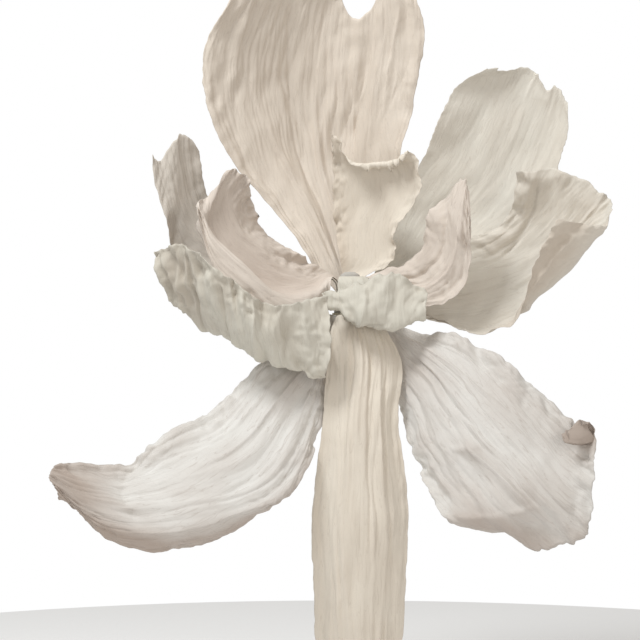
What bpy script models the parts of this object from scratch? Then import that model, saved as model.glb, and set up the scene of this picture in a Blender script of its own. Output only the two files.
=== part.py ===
"""A giant paper flower on a wooden stem.

Twelve wired paper petals are glued in three tiers round a papier-mache core.  The core sits on
a wooden stem.  Every petal is one sheet of paper.  Ten of them have a paper-covered wire glued
along the middle of the back, and the wide ones have one or two more beside it.  The two that
show their outside, at the front, have none.  A band of paper tape holds the feet of each tier's
wires to the core.

Units are metres, +Z is up and the front of the flower faces -Y.  The origin is the middle of
the stem's lower end.  Petal points are measured from the hub, which is on the stem's axis.
"""

import math

import bmesh
import bpy
import numpy as np

# Driving dimensions
HUB_HEIGHT = 0.40  # from the stem's lower end up to the hub
SHEET = 0.0010  # thickness of a petal's glued paper
GAP = 0.0003  # clearance between touching pieces
WIRE_RADIUS = 0.0016
WIRE_LIFT = 0.0006  # from a petal's back to its wire
FOOT_LENGTH = 0.027  # how far a wire's foot reaches below its petal
FOOT_BEND = 0.007  # how far below its petal a wire leans back out from the core
FOOT_ROWS = (  # how far out from the core and how far up each row of a petal's glued foot is
    (0.0, 0.0),
    (0.0005, 0.018),
    (0.0035, 0.029),
    (0.0150, 0.039),
)
STEM_RADIUS = 0.014
STEM_TOP = -0.030  # height of the stem's hidden end, from the hub
TAPE = 0.0012  # thickness of a wound tape band
BAND_HEIGHT = 0.016
NECK_LENGTH = 0.090  # height of the tape wound round the stem under the core

# Tiers of petals: radius of the core there, and the height of the petals' lower edges
TIERS = {
    "fall": (0.0500, -0.055),
    "whorl": (0.0440, 0.000),
    "throat": (0.0320, 0.050),
}
CORE_BOTTOM = -0.100
CORE_TOP = 0.105
CORE_FOOT_RADIUS = 0.022
CORE_SIDES = 32

# Sampling of the sheets and the wires
STEPS_ALONG = 2  # faces between two rows of a petal's points
CELLS_ACROSS = 8
SIDE_WIRE_START = (len(FOOT_ROWS) + 1) * STEPS_ALONG  # grid row where a side wire begins
BAND_SIDES = 32

# Colours
PAPER_WARM = (0.66, 0.60, 0.52)
PAPER_PALE = (0.72, 0.69, 0.62)
PAPER_SHADED = (0.60, 0.57, 0.50)
WIRE_PAPER = (0.70, 0.68, 0.60)
TAPE_PAPER = (0.62, 0.58, 0.48)
PULP_GREY = (0.48, 0.46, 0.42)
BEECH = (0.55, 0.40, 0.25)

# Each petal: tier, direction of its foot in degrees (0 is the front, 90 is the right), half of
# the angle that the foot covers, side wires as shares of the width (None for a petal with no
# wire at all), an optional notch in the tip (place across, half width, depth, all as shares),
# the colour, and rows of points from the foot to the tip.  The points of a row run clockwise as seen from above.
PETALS = {
    "top": dict(
        tier="whorl", facing=180, spread=30, side_wires=(0.25, 0.75), notch=(0.70, 0.16, 0.10),
        colour=PAPER_WARM,
        rows=(
            ((-0.100, 0.070, 0.125), (-0.020, 0.100, 0.120), (0.050, 0.085, 0.120)),
            ((-0.200, 0.110, 0.265), (-0.050, 0.160, 0.250), (0.100, 0.135, 0.260)),
            ((-0.330, 0.100, 0.410), (-0.085, 0.220, 0.425), (0.150, 0.150, 0.445)),
            ((-0.405, 0.080, 0.580), (-0.100, 0.210, 0.605), (0.190, 0.130, 0.625)),
            ((-0.400, 0.060, 0.740), (-0.090, 0.175, 0.785), (0.213, 0.100, 0.785)),
            ((-0.330, 0.045, 0.875), (-0.060, 0.115, 0.935), (0.172, 0.075, 0.915)),
        ),
    ),
    "top_inner": dict(
        tier="throat", facing=165, spread=35, side_wires=(), notch=None, colour=PAPER_PALE,
        rows=(
            ((-0.030, 0.060, 0.150), (0.015, 0.060, 0.145), (0.060, 0.050, 0.140),
             (0.100, 0.030, 0.140), (0.122, 0.005, 0.135)),
            ((-0.040, 0.085, 0.220), (0.015, 0.075, 0.220), (0.065, 0.060, 0.220),
             (0.105, 0.035, 0.220), (0.128, 0.000, 0.215)),
            ((-0.050, 0.090, 0.310), (0.015, 0.075, 0.310), (0.080, 0.050, 0.320),
             (0.150, 0.015, 0.330), (0.205, -0.045, 0.335)),
            ((-0.050, 0.070, 0.430), (0.010, 0.045, 0.400), (0.070, 0.020, 0.400),
             (0.125, 0.000, 0.410), (0.175, -0.045, 0.425)),
            ((-0.055, 0.020, 0.525), (-0.010, -0.005, 0.425), (0.050, -0.035, 0.405),
             (0.100, -0.050, 0.420), (0.150, -0.075, 0.440)),
        ),
    ),
    "right_back": dict(
        tier="whorl", facing=125, spread=23, side_wires=(0.25, 0.75), notch=None,
        colour=PAPER_PALE,
        rows=(
            ((0.085, 0.105, 0.135), (0.125, 0.120, 0.125), (0.155, 0.110, 0.110),
             (0.175, 0.090, 0.090), (0.190, 0.065, 0.065)),
            ((0.145, 0.170, 0.275), (0.210, 0.195, 0.265), (0.280, 0.210, 0.245),
             (0.330, 0.190, 0.205), (0.370, 0.150, 0.170)),
            ((0.210, 0.190, 0.445), (0.295, 0.210, 0.420), (0.380, 0.220, 0.375),
             (0.460, 0.205, 0.325), (0.525, 0.175, 0.265)),
            ((0.270, 0.175, 0.580), (0.370, 0.205, 0.550), (0.455, 0.210, 0.510),
             (0.535, 0.205, 0.465), (0.600, 0.175, 0.415)),
            ((0.350, 0.150, 0.665), (0.425, 0.175, 0.670), (0.505, 0.180, 0.645),
             (0.580, 0.175, 0.595), (0.620, 0.160, 0.525)),
            ((0.405, 0.140, 0.685), (0.455, 0.150, 0.685), (0.525, 0.160, 0.680),
             (0.585, 0.160, 0.645), (0.620, 0.150, 0.600)),
        ),
    ),
    "right_front": dict(
        tier="whorl", facing=75, spread=23, side_wires=(0.25,), notch=None, colour=PAPER_PALE,
        rows=(
            ((0.140, 0.035, 0.130), (0.155, 0.010, 0.090), (0.170, -0.010, 0.050),
             (0.200, -0.030, 0.005), (0.225, -0.045, -0.035), (0.255, -0.060, -0.045)),
            ((0.250, 0.040, 0.190), (0.280, 0.015, 0.130), (0.310, 0.000, 0.070),
             (0.350, -0.030, 0.000), (0.390, -0.070, -0.045), (0.410, -0.115, -0.040)),
            ((0.370, 0.030, 0.210), (0.400, 0.015, 0.170), (0.450, 0.000, 0.120),
             (0.495, -0.045, 0.060), (0.495, -0.100, 0.020), (0.465, -0.150, 0.050)),
            ((0.440, 0.000, 0.270), (0.510, -0.015, 0.270), (0.575, -0.030, 0.220),
             (0.615, -0.060, 0.170), (0.595, -0.125, 0.120), (0.505, -0.175, 0.165)),
            ((0.455, -0.045, 0.390), (0.590, -0.075, 0.380), (0.675, -0.100, 0.325),
             (0.710, -0.130, 0.280), (0.685, -0.160, 0.230), (0.545, -0.190, 0.245)),
        ),
    ),
    "right_inner": dict(
        tier="throat", facing=65, spread=22, side_wires=(), notch=None, colour=PAPER_WARM,
        rows=(
            ((0.100, 0.000, 0.110), (0.120, -0.035, 0.070), (0.110, -0.055, 0.040)),
            ((0.150, -0.010, 0.130), (0.210, -0.070, 0.070), (0.220, -0.100, 0.010)),
            ((0.205, -0.025, 0.190), (0.270, -0.100, 0.145), (0.305, -0.120, 0.060)),
            ((0.215, -0.055, 0.265), (0.285, -0.125, 0.245), (0.325, -0.135, 0.180)),
            ((0.290, -0.100, 0.345), (0.305, -0.130, 0.360), (0.320, -0.140, 0.320)),
        ),
    ),
    "lip": dict(
        tier="throat", facing=2, spread=34, side_wires=None, notch=None, colour=PAPER_PALE,
        rows=(
            ((0.095, -0.090, 0.045), (0.058, -0.105, 0.040), (0.025, -0.108, 0.040),
             (-0.008, -0.103, 0.042), (-0.040, -0.090, 0.050)),
            ((0.150, -0.135, -0.030), (0.100, -0.145, -0.050), (0.050, -0.150, -0.045),
             (0.005, -0.145, -0.030), (-0.045, -0.125, 0.000)),
            ((0.195, -0.165, -0.025), (0.120, -0.185, -0.050), (0.050, -0.190, -0.040),
             (-0.005, -0.180, -0.025), (-0.065, -0.155, 0.005)),
            ((0.210, -0.170, 0.025), (0.125, -0.185, 0.030), (0.055, -0.195, 0.030),
             (-0.010, -0.185, 0.025), (-0.075, -0.160, 0.025)),
            ((0.200, -0.160, 0.060), (0.130, -0.175, 0.100), (0.060, -0.175, 0.100),
             (-0.010, -0.170, 0.070), (-0.080, -0.155, 0.050)),
        ),
    ),
    "left_back": dict(
        tier="whorl", facing=-115, spread=23, side_wires=(), notch=None, colour=PAPER_SHADED,
        rows=(
            ((-0.170, -0.010, 0.055), (-0.160, 0.010, 0.060), (-0.150, 0.030, 0.070),
             (-0.140, 0.055, 0.085), (-0.120, 0.070, 0.105)),
            ((-0.340, -0.035, 0.090), (-0.315, 0.005, 0.110), (-0.290, 0.040, 0.135),
             (-0.265, 0.065, 0.155), (-0.235, 0.085, 0.175)),
            ((-0.475, -0.050, 0.150), (-0.440, -0.015, 0.185), (-0.405, 0.020, 0.215),
             (-0.370, 0.060, 0.235), (-0.335, 0.085, 0.245)),
            ((-0.515, -0.060, 0.270), (-0.490, -0.030, 0.305), (-0.460, 0.005, 0.330),
             (-0.435, 0.045, 0.340), (-0.405, 0.075, 0.340)),
            ((-0.540, -0.060, 0.430), (-0.515, -0.035, 0.415), (-0.480, 0.000, 0.480),
             (-0.450, 0.030, 0.485), (-0.415, 0.060, 0.440)),
        ),
    ),
    "left_mid": dict(
        tier="throat", facing=-95, spread=30, side_wires=(), notch=None, colour=PAPER_WARM,
        rows=(
            ((-0.062, -0.088, 0.015), (-0.088, -0.080, 0.050), (-0.105, -0.045, 0.060),
             (-0.105, -0.010, 0.085), (-0.085, 0.020, 0.120)),
            ((-0.150, -0.155, -0.040), (-0.178, -0.150, 0.035), (-0.210, -0.085, 0.055),
             (-0.190, -0.035, 0.120), (-0.150, 0.005, 0.160)),
            ((-0.250, -0.205, -0.015), (-0.283, -0.190, 0.120), (-0.310, -0.120, 0.125),
             (-0.285, -0.065, 0.185), (-0.235, -0.015, 0.215)),
            ((-0.345, -0.205, 0.065), (-0.372, -0.190, 0.200), (-0.385, -0.135, 0.220),
             (-0.340, -0.085, 0.290), (-0.265, -0.045, 0.290)),
            ((-0.415, -0.185, 0.235), (-0.408, -0.165, 0.295), (-0.365, -0.125, 0.315),
             (-0.325, -0.100, 0.390), (-0.270, -0.075, 0.355)),
        ),
    ),
    "left_front": dict(
        tier="whorl", facing=-60, spread=26, side_wires=None, notch=None,
        colour=PAPER_SHADED,
        rows=(
            ((-0.055, -0.080, 0.020), (-0.070, -0.065, 0.025), (-0.085, -0.045, 0.030),
             (-0.095, -0.025, 0.030), (-0.105, -0.005, 0.025)),
            ((-0.058, -0.132, -0.080), (-0.120, -0.117, -0.060), (-0.180, -0.100, -0.040),
             (-0.225, -0.070, -0.015), (-0.265, -0.040, 0.005)),
            ((-0.068, -0.192, -0.190), (-0.170, -0.192, -0.160), (-0.280, -0.175, -0.115),
             (-0.355, -0.145, -0.070), (-0.440, -0.085, -0.025)),
            ((-0.052, -0.210, -0.080), (-0.190, -0.242, -0.085), (-0.310, -0.245, -0.025),
             (-0.410, -0.205, 0.035), (-0.510, -0.130, 0.060)),
            ((-0.058, -0.200, 0.045), (-0.215, -0.245, 0.020), (-0.330, -0.270, 0.095),
             (-0.445, -0.220, 0.180), (-0.535, -0.145, 0.160)),
        ),
    ),
    "lower_left": dict(
        tier="fall", facing=-56, spread=23, side_wires=(0.75,), notch=None,
        colour=PAPER_PALE,
        rows=(
            ((-0.040, -0.068, -0.015), (-0.052, -0.060, -0.014), (-0.062, -0.050, -0.013),
             (-0.070, -0.035, -0.013)),
            ((-0.046, -0.078, -0.055), (-0.066, -0.076, -0.050), (-0.085, -0.067, -0.045),
             (-0.100, -0.050, -0.040)),
            ((-0.050, -0.082, -0.150), (-0.075, -0.095, -0.140), (-0.110, -0.090, -0.120),
             (-0.135, -0.060, -0.095)),
            ((-0.083, -0.140, -0.320), (-0.115, -0.170, -0.305), (-0.190, -0.160, -0.240),
             (-0.250, -0.105, -0.150)),
            ((-0.160, -0.255, -0.475), (-0.195, -0.290, -0.465), (-0.310, -0.255, -0.365),
             (-0.385, -0.190, -0.270)),
            ((-0.350, -0.330, -0.605), (-0.365, -0.375, -0.530), (-0.455, -0.320, -0.435),
             (-0.520, -0.260, -0.340)),
            ((-0.550, -0.370, -0.620), (-0.570, -0.405, -0.550), (-0.600, -0.365, -0.470),
             (-0.590, -0.290, -0.410)),
            ((-0.668, -0.405, -0.555), (-0.693, -0.435, -0.510), (-0.713, -0.410, -0.447),
             (-0.713, -0.360, -0.392)),
            ((-0.735, -0.440, -0.490), (-0.757, -0.470, -0.450), (-0.772, -0.460, -0.415),
             (-0.762, -0.415, -0.397)),
        ),
    ),
    "bottom": dict(
        tier="fall", facing=0, spread=24, side_wires=(), notch=None, colour=PAPER_PALE,
        rows=(
            ((0.055, -0.072, -0.015), (0.005, -0.085, -0.012), (-0.035, -0.075, -0.015)),
            ((0.088, -0.092, -0.045), (0.025, -0.112, -0.040), (-0.050, -0.098, -0.045)),
            ((0.130, -0.110, -0.110), (0.040, -0.138, -0.110), (-0.060, -0.116, -0.110)),
            ((0.130, -0.160, -0.300), (0.030, -0.200, -0.295), (-0.075, -0.150, -0.300)),
            ((0.155, -0.175, -0.495), (0.030, -0.230, -0.495), (-0.100, -0.160, -0.495)),
            ((0.145, -0.175, -0.715), (0.025, -0.230, -0.710), (-0.100, -0.160, -0.715)),
            ((0.130, -0.160, -0.910), (0.020, -0.205, -0.910), (-0.090, -0.145, -0.915)),
            ((0.085, -0.145, -1.010), (0.020, -0.175, -1.050), (-0.055, -0.130, -1.015)),
        ),
    ),
    "lower_right": dict(
        tier="fall", facing=51, spread=23, side_wires=(0.25, 0.75), notch=None,
        colour=PAPER_PALE,
        rows=(
            ((0.085, -0.035, -0.014), (0.080, -0.045, -0.014), (0.072, -0.055, -0.014),
             (0.064, -0.062, -0.015), (0.056, -0.066, -0.016)),
            ((0.170, -0.075, -0.050), (0.150, -0.090, -0.065), (0.135, -0.090, -0.085),
             (0.120, -0.085, -0.110), (0.105, -0.075, -0.130)),
            ((0.290, -0.155, -0.070), (0.265, -0.185, -0.115), (0.230, -0.185, -0.160),
             (0.180, -0.145, -0.205), (0.125, -0.095, -0.250)),
            ((0.405, -0.220, -0.140), (0.375, -0.260, -0.205), (0.325, -0.285, -0.275),
             (0.245, -0.245, -0.340), (0.165, -0.165, -0.395)),
            ((0.515, -0.275, -0.230), (0.480, -0.320, -0.315), (0.420, -0.350, -0.395),
             (0.330, -0.320, -0.450), (0.215, -0.240, -0.500)),
            ((0.598, -0.325, -0.305), (0.575, -0.370, -0.400), (0.510, -0.400, -0.490),
             (0.400, -0.380, -0.530), (0.240, -0.310, -0.545)),
            ((0.640, -0.370, -0.270), (0.618, -0.420, -0.430), (0.605, -0.400, -0.585),
             (0.480, -0.350, -0.615), (0.305, -0.320, -0.550)),
        ),
    ),
}


def clear_scene():
    """Remove every object of the scene."""
    for thing in list(bpy.data.objects):
        bpy.data.objects.remove(thing, do_unlink=True)


def plain_material(name, colour, roughness, metallic=0.0):
    """Return a Principled material of one colour."""
    material = bpy.data.materials.new(name)
    material.use_nodes = True
    shader = material.node_tree.nodes["Principled BSDF"]
    shader.inputs["Base Color"].default_value = (*colour, 1.0)
    shader.inputs["Roughness"].default_value = roughness
    shader.inputs["Metallic"].default_value = metallic
    return material


def add_object(name, data, material, smooth_angle=None):
    """Link a new object that carries data and one material."""
    data.materials.append(material)
    if smooth_angle is not None:
        data.shade_smooth()
        data.set_sharp_from_angle(angle=math.radians(smooth_angle))
    thing = bpy.data.objects.new(name, data)
    bpy.context.scene.collection.objects.link(thing)
    return thing


def knots_of(points):
    """Places of rows along a path, as shares of its mean chord length."""
    steps = np.linalg.norm(np.diff(points, axis=0), axis=-1).reshape(len(points) - 1, -1)
    return np.concatenate(([0.0], np.cumsum(steps.mean(axis=1)))) / steps.mean(axis=1).sum()


def through_points(points, knots, places):
    """Read a smooth curve through points (first axis), set at knots, at the given places."""
    shape = (-1,) + (1,) * (points.ndim - 1)
    steps = np.diff(knots).reshape(shape)
    slopes = np.diff(points, axis=0) / steps
    inner = (slopes[:-1] * steps[1:] + slopes[1:] * steps[:-1]) / (steps[:-1] + steps[1:])
    tangents = np.concatenate((slopes[:1], inner, slopes[-1:]))
    places = np.clip(places, 0.0, 1.0)
    index = np.clip(np.searchsorted(knots, places, side="right") - 1, 0, len(points) - 2)
    step = steps[index]
    t = (places - knots[index]).reshape(shape) / step
    return (
        points[index] * (2 * t**3 - 3 * t**2 + 1)
        + tangents[index] * step * (t**3 - 2 * t**2 + t)
        + points[index + 1] * (3 * t**2 - 2 * t**3)
        + tangents[index + 1] * step * (t**3 - t**2)
    )


def foot_arc(radius, height, facing, spread, count):
    """Points of an arc round the stem's axis, clockwise as seen from above."""
    angles = np.radians(np.linspace(facing + spread, facing - spread, count))
    return np.stack(
        (radius * np.sin(angles), -radius * np.cos(angles), np.full(count, height)), axis=1
    )


def petal_grid(petal):
    """Middle surface of a petal as a grid of points (along, across), from the hub."""
    core_radius, base = TIERS[petal["tier"]]
    rows = np.array(petal["rows"])
    foot_radius = core_radius + 2 * GAP + SHEET / 2
    across = np.linspace(0, 1, CELLS_ACROSS + 1)
    feet = [
        foot_arc(foot_radius + out, base + up, petal["facing"], petal["spread"], len(across))
        for out, up in FOOT_ROWS
    ]
    places = np.linspace(0, 1, rows.shape[1])
    blade = through_points(rows.transpose(1, 0, 2), places, across).transpose(1, 0, 2)
    wide = np.concatenate((np.array(feet), blade))
    knots = knots_of(wide)
    last = len(wide) - 1
    along = np.interp(np.linspace(0, last, last * STEPS_ALONG + 1), np.arange(last + 1), knots)
    if petal["notch"] is None:
        return through_points(wide, knots, along)
    place, half_width, depth = petal["notch"]
    nearness = np.clip(1 - np.abs(across - place) / half_width, 0, 1)
    reach = 1 - depth * np.sin(nearness * math.pi / 2)
    lines = [through_points(wide[:, k], knots, along * reach[k]) for k in range(len(across))]
    return np.stack(lines, axis=1)


def back_normals(grid):
    """Unit normals of a grid, pointing out of the petal's back."""
    along = np.gradient(grid, axis=0)
    across = np.gradient(grid, axis=1)
    normals = np.cross(along, across)
    return normals / np.linalg.norm(normals, axis=2, keepdims=True)


def sheet_mesh(name, grid):
    """Closed mesh of a sheet: both faces of the grid and the rim between them."""
    normals = back_normals(grid)
    rows, columns = grid.shape[:2]
    mesh_points = np.concatenate(
        (
            (grid - normals * SHEET / 2).reshape(-1, 3),
            (grid + normals * SHEET / 2).reshape(-1, 3),
        )
    )
    mesh_points[:, 2] += HUB_HEIGHT
    shape = bmesh.new()
    corners = [shape.verts.new(point) for point in mesh_points]
    behind = rows * columns
    for i in range(rows - 1):
        for j in range(columns - 1):
            a = i * columns + j
            b = a + 1
            c = a + columns + 1
            d = a + columns
            shape.faces.new((corners[a], corners[b], corners[c], corners[d]))
            shape.faces.new(
                (corners[a + behind], corners[d + behind], corners[c + behind], corners[b + behind])
            )
    rim = [j for j in range(columns)]
    rim += [i * columns + columns - 1 for i in range(1, rows)]
    rim += [(rows - 1) * columns + j for j in range(columns - 2, -1, -1)]
    rim += [i * columns for i in range(rows - 2, 0, -1)]
    for a, b in zip(rim, rim[1:] + rim[:1]):
        shape.faces.new((corners[b], corners[a], corners[a + behind], corners[b + behind]))
    bmesh.ops.recalc_face_normals(shape, faces=shape.faces)
    bmesh.ops.triangulate(shape, faces=shape.faces)
    mesh = bpy.data.meshes.new(name)
    shape.to_mesh(mesh)
    shape.free()
    return mesh


def wire_object(name, path, material):
    """Straight-sided wire along a list of points measured from the hub."""
    curve = bpy.data.curves.new(name, "CURVE")
    curve.dimensions = "3D"
    curve.bevel_depth = WIRE_RADIUS
    curve.bevel_resolution = 2
    curve.use_fill_caps = True
    spline = curve.splines.new("POLY")
    spline.points.add(len(path) - 1)
    for point, place in zip(spline.points, path):
        point.co = (place[0], place[1], place[2] + HUB_HEIGHT, 1.0)
    return add_object(name, curve, material)


def back_line(grid, column, first, last):
    """Points of one grid line, lifted off the petal's back by a wire's radius."""
    lift = SHEET / 2 + WIRE_LIFT + WIRE_RADIUS
    lifted = grid + back_normals(grid) * lift
    return lifted[first:last, column]


def make_petal(name, petal, wire_material):
    """Build one petal, its rib wire and its side wires, if it has any."""
    grid = petal_grid(petal)
    paper = plain_material("paper_" + name, petal["colour"], 0.85)
    add_object("petal_" + name, sheet_mesh("petal_" + name, grid), paper, smooth_angle=60)

    if petal["side_wires"] is None:
        return
    core_radius, base = TIERS[petal["tier"]]
    foot_radius = core_radius + GAP + WIRE_RADIUS
    angle = math.radians(petal["facing"])
    foot = [
        (foot_radius * math.sin(angle), -foot_radius * math.cos(angle), base - drop)
        for drop in (FOOT_LENGTH, FOOT_BEND)
    ]
    rib = back_line(grid, CELLS_ACROSS // 2, 0, len(grid) - 1)
    wire_object("rib_wire_" + name, [*foot, *rib], wire_material)
    for number, share in enumerate(petal["side_wires"], start=1):
        column = round(share * CELLS_ACROSS)
        side = back_line(grid, column, SIDE_WIRE_START, len(grid) - 2)
        wire_object("side_wire_%s_%d" % (name, number), side, wire_material)


def lathe(name, profile, sides, material, closed=False):
    """Turn a profile of (radius, height) points round the stem's axis."""
    shape = bmesh.new()
    ring = [shape.verts.new((radius, 0.0, height + HUB_HEIGHT)) for radius, height in profile]
    pairs = list(zip(ring, ring[1:] + ring[:1])) if closed else list(zip(ring, ring[1:]))
    edges = [shape.edges.new(pair) for pair in pairs]
    bmesh.ops.spin(
        shape, geom=[*ring, *edges], cent=(0, 0, 0), axis=(0, 0, 1),
        angle=math.tau, steps=sides, use_merge=True,
    )
    bmesh.ops.remove_doubles(shape, verts=shape.verts, dist=0.00001)
    bmesh.ops.recalc_face_normals(shape, faces=shape.faces)
    bmesh.ops.triangulate(shape, faces=shape.faces)
    mesh = bpy.data.meshes.new(name)
    shape.to_mesh(mesh)
    shape.free()
    return add_object(name, mesh, material, smooth_angle=40)


def make_core():
    """Build the stepped core with the blind hole that the stem sits in."""
    fall, whorl, throat = (TIERS[name][0] for name in ("fall", "whorl", "throat"))
    hole = STEM_RADIUS + GAP
    lower_step = TIERS["whorl"][1] - FOOT_LENGTH - 0.001
    upper_step = TIERS["throat"][1] - FOOT_LENGTH - 0.001
    profile = [
        (0.0, STEM_TOP + GAP),
        (hole, STEM_TOP + GAP),
        (hole, CORE_BOTTOM),
        (CORE_FOOT_RADIUS, CORE_BOTTOM),
        (fall, CORE_BOTTOM + 0.016),
        (fall, lower_step - 0.003),
        (whorl, lower_step),
        (whorl, upper_step - 0.006),
        (throat, upper_step),
        (throat, CORE_TOP - 0.022),
        (0.80 * throat, CORE_TOP - 0.008),
        (0.45 * throat, CORE_TOP - 0.001),
        (0.0, CORE_TOP),
    ]
    lathe("core", profile, CORE_SIDES, plain_material("pulp", PULP_GREY, 0.9))


def make_stem():
    """Build the turned wooden stem with its lower edge rounded over."""
    bottom = -HUB_HEIGHT
    profile = [
        (0.0, bottom),
        (STEM_RADIUS - 0.0015, bottom),
        (STEM_RADIUS, bottom + 0.0015),
        (STEM_RADIUS, STEM_TOP),
        (0.0, STEM_TOP),
    ]
    lathe("stem_rod", profile, CORE_SIDES, plain_material("beech", BEECH, 0.6))


def make_bands():
    """Build the tape bands over the wire feet and the tape round the stem's neck."""
    tape = plain_material("tape", TAPE_PAPER, 0.8)
    for name, (core_radius, base) in TIERS.items():
        inner = core_radius + 2 * GAP + 2 * WIRE_RADIUS
        top = base - FOOT_BEND - 0.001
        bottom = top - BAND_HEIGHT
        profile = [(inner, bottom), (inner + TAPE, bottom), (inner + TAPE, top), (inner, top)]
        lathe("tape_band_" + name, profile, BAND_SIDES, tape, closed=True)
    inner = STEM_RADIUS + GAP
    top = CORE_BOTTOM - GAP
    bottom = top - NECK_LENGTH
    profile = [
        (inner, bottom),
        (inner + TAPE, bottom),
        (inner + 3 * TAPE, top),
        (inner, top),
    ]
    lathe("neck_tape", profile, BAND_SIDES, tape, closed=True)


def main():
    """Build the whole flower."""
    clear_scene()
    make_stem()
    make_core()
    make_bands()
    wire_material = plain_material("covered_wire", WIRE_PAPER, 0.7)
    for name, petal in PETALS.items():
        make_petal(name, petal, wire_material)


main()
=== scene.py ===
"""Finish of a giant paper flower: wrinkled petals, wired backs, a pulp core and a wooden stem.

Units are metres, +Z is up and the flower's front faces -Y.  Petal points are measured from the
hub, on the stem's axis.  Every petal starts as a smooth sheet through its rows of points.  It is
then gathered at the foot, creased along its length, rippled, ruffled at its edges and crumpled,
and gets the thickness of glued paper.
"""

from __future__ import annotations

import logging
import math
from dataclasses import dataclass, field
from enum import Enum

import bpy
import numpy as np
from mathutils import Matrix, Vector


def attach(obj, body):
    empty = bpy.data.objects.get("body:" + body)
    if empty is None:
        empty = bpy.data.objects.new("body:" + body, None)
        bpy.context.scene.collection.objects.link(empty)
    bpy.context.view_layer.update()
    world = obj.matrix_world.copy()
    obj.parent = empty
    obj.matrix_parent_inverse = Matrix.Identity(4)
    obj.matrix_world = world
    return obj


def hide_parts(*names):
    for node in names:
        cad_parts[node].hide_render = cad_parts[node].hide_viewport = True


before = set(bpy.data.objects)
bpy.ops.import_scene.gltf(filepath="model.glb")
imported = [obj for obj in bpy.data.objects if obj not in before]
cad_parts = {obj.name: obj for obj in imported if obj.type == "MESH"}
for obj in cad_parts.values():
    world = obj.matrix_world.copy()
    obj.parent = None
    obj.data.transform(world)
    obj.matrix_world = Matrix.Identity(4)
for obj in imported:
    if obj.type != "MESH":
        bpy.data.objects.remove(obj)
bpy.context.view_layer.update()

LOG = logging.getLogger("paper_flower")
BODY = "root"
HUB = np.array((0.0, 0.0, 0.40))
SHEET = 0.0009  # thickness of the glued paper
CELL_ALONG = 0.0062  # length of a sheet's faces; the creases run along the petal
CELL_ACROSS = 0.0027
WIRE_RADIUS = 0.0016
FOOT_GAP = 0.0006


class Tier(Enum):
    """Tiers of petals: radius of the core there, and height of the petals' lower edges."""

    FALL = (0.0500, -0.055)
    WHORL = (0.0440, 0.000)
    THROAT = (0.0320, 0.050)


FOOT_ROWS = (  # how far out and how far up each row of a petal's glued foot is
    (0.0, 0.0),
    (0.0005, 0.018),
    (0.0035, 0.029),
    (0.0150, 0.039),
)


# --------------------------------------------------------------------------- arrays


def smoothstep(low: float, high: float, x: np.ndarray) -> np.ndarray:
    """Return 0 below low, 1 above high, and 3t^2 - 2t^3 between them."""
    t = np.clip((x - low) / (high - low), 0.0, 1.0)
    return t * t * (3 - 2 * t)


class Noise:
    """Seeded gradient noise on a plane, worked out for whole arrays."""

    def __init__(self, seed: int) -> None:
        """Draw the lattice's slopes.

        Args:
            seed: number that fixes the pattern.
        """
        draw = np.random.default_rng(seed)
        self.table = draw.permutation(256)
        angles = draw.uniform(0.0, math.tau, 256)
        self.slopes = np.stack((np.cos(angles), np.sin(angles)), axis=1)

    def __call__(self, x: np.ndarray, y: np.ndarray) -> np.ndarray:
        """Return noise from about -1 to 1.

        Each lattice corner gives its slope times the distance to the point, and the four are
        mixed with the weight 6t^5 - 15t^4 + 10t^3.

        Args:
            x: first coordinate, where one cell of the lattice is 1 wide.
            y: second coordinate.

        Returns:
            Array of the same shape.
        """
        x, y = np.broadcast_arrays(x, y)
        left, low = np.floor(x).astype(int), np.floor(y).astype(int)
        fx, fy = x - left, y - low
        wx = fx**3 * (fx * (fx * 6 - 15) + 10)
        wy = fy**3 * (fy * (fy * 6 - 15) + 10)

        def corner(i: int, j: int) -> np.ndarray:
            """Slope of one lattice corner times the way from it."""
            index = self.table[(self.table[(left + i) % 256] + low + j) % 256]
            return self.slopes[index, 0] * (fx - i) + self.slopes[index, 1] * (fy - j)

        below = corner(0, 0) * (1 - wx) + corner(1, 0) * wx
        above = corner(0, 1) * (1 - wx) + corner(1, 1) * wx
        return 1.5 * (below * (1 - wy) + above * wy)

    def facets(self, x: np.ndarray, y: np.ndarray) -> np.ndarray:
        """Return flat facets from -1 to 1.

        Every lattice corner has its own height.  Each cell is split along a diagonal, and the
        height is linear on each half.

        Args:
            x: first coordinate, where one cell of the lattice is 1 wide.
            y: second coordinate.

        Returns:
            Array of the same shape.
        """
        x, y = x + 0.5 * y, y * 0.87
        left, low = np.floor(x).astype(int), np.floor(y).astype(int)
        fx, fy = x - left, y - low

        def height(i: int, j: int) -> np.ndarray:
            """Height of one lattice corner."""
            index = self.table[(self.table[(left + i) % 256] + low + j) % 256]
            return self.slopes[index, 0]

        near = height(0, 0) + (height(1, 0) - height(0, 0)) * fx + (height(0, 1) - height(0, 0)) * fy
        far = height(1, 1) + (height(0, 1) - height(1, 1)) * (1 - fx)
        far = far + (height(1, 0) - height(1, 1)) * (1 - fy)
        return np.where(fx + fy < 1, near, far)


def knots_of(points: np.ndarray) -> np.ndarray:
    """Places of rows along a path, as shares of its mean chord length."""
    steps = np.linalg.norm(np.diff(points, axis=0), axis=-1).reshape(len(points) - 1, -1)
    return np.concatenate(([0.0], np.cumsum(steps.mean(axis=1)))) / steps.mean(axis=1).sum()


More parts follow.
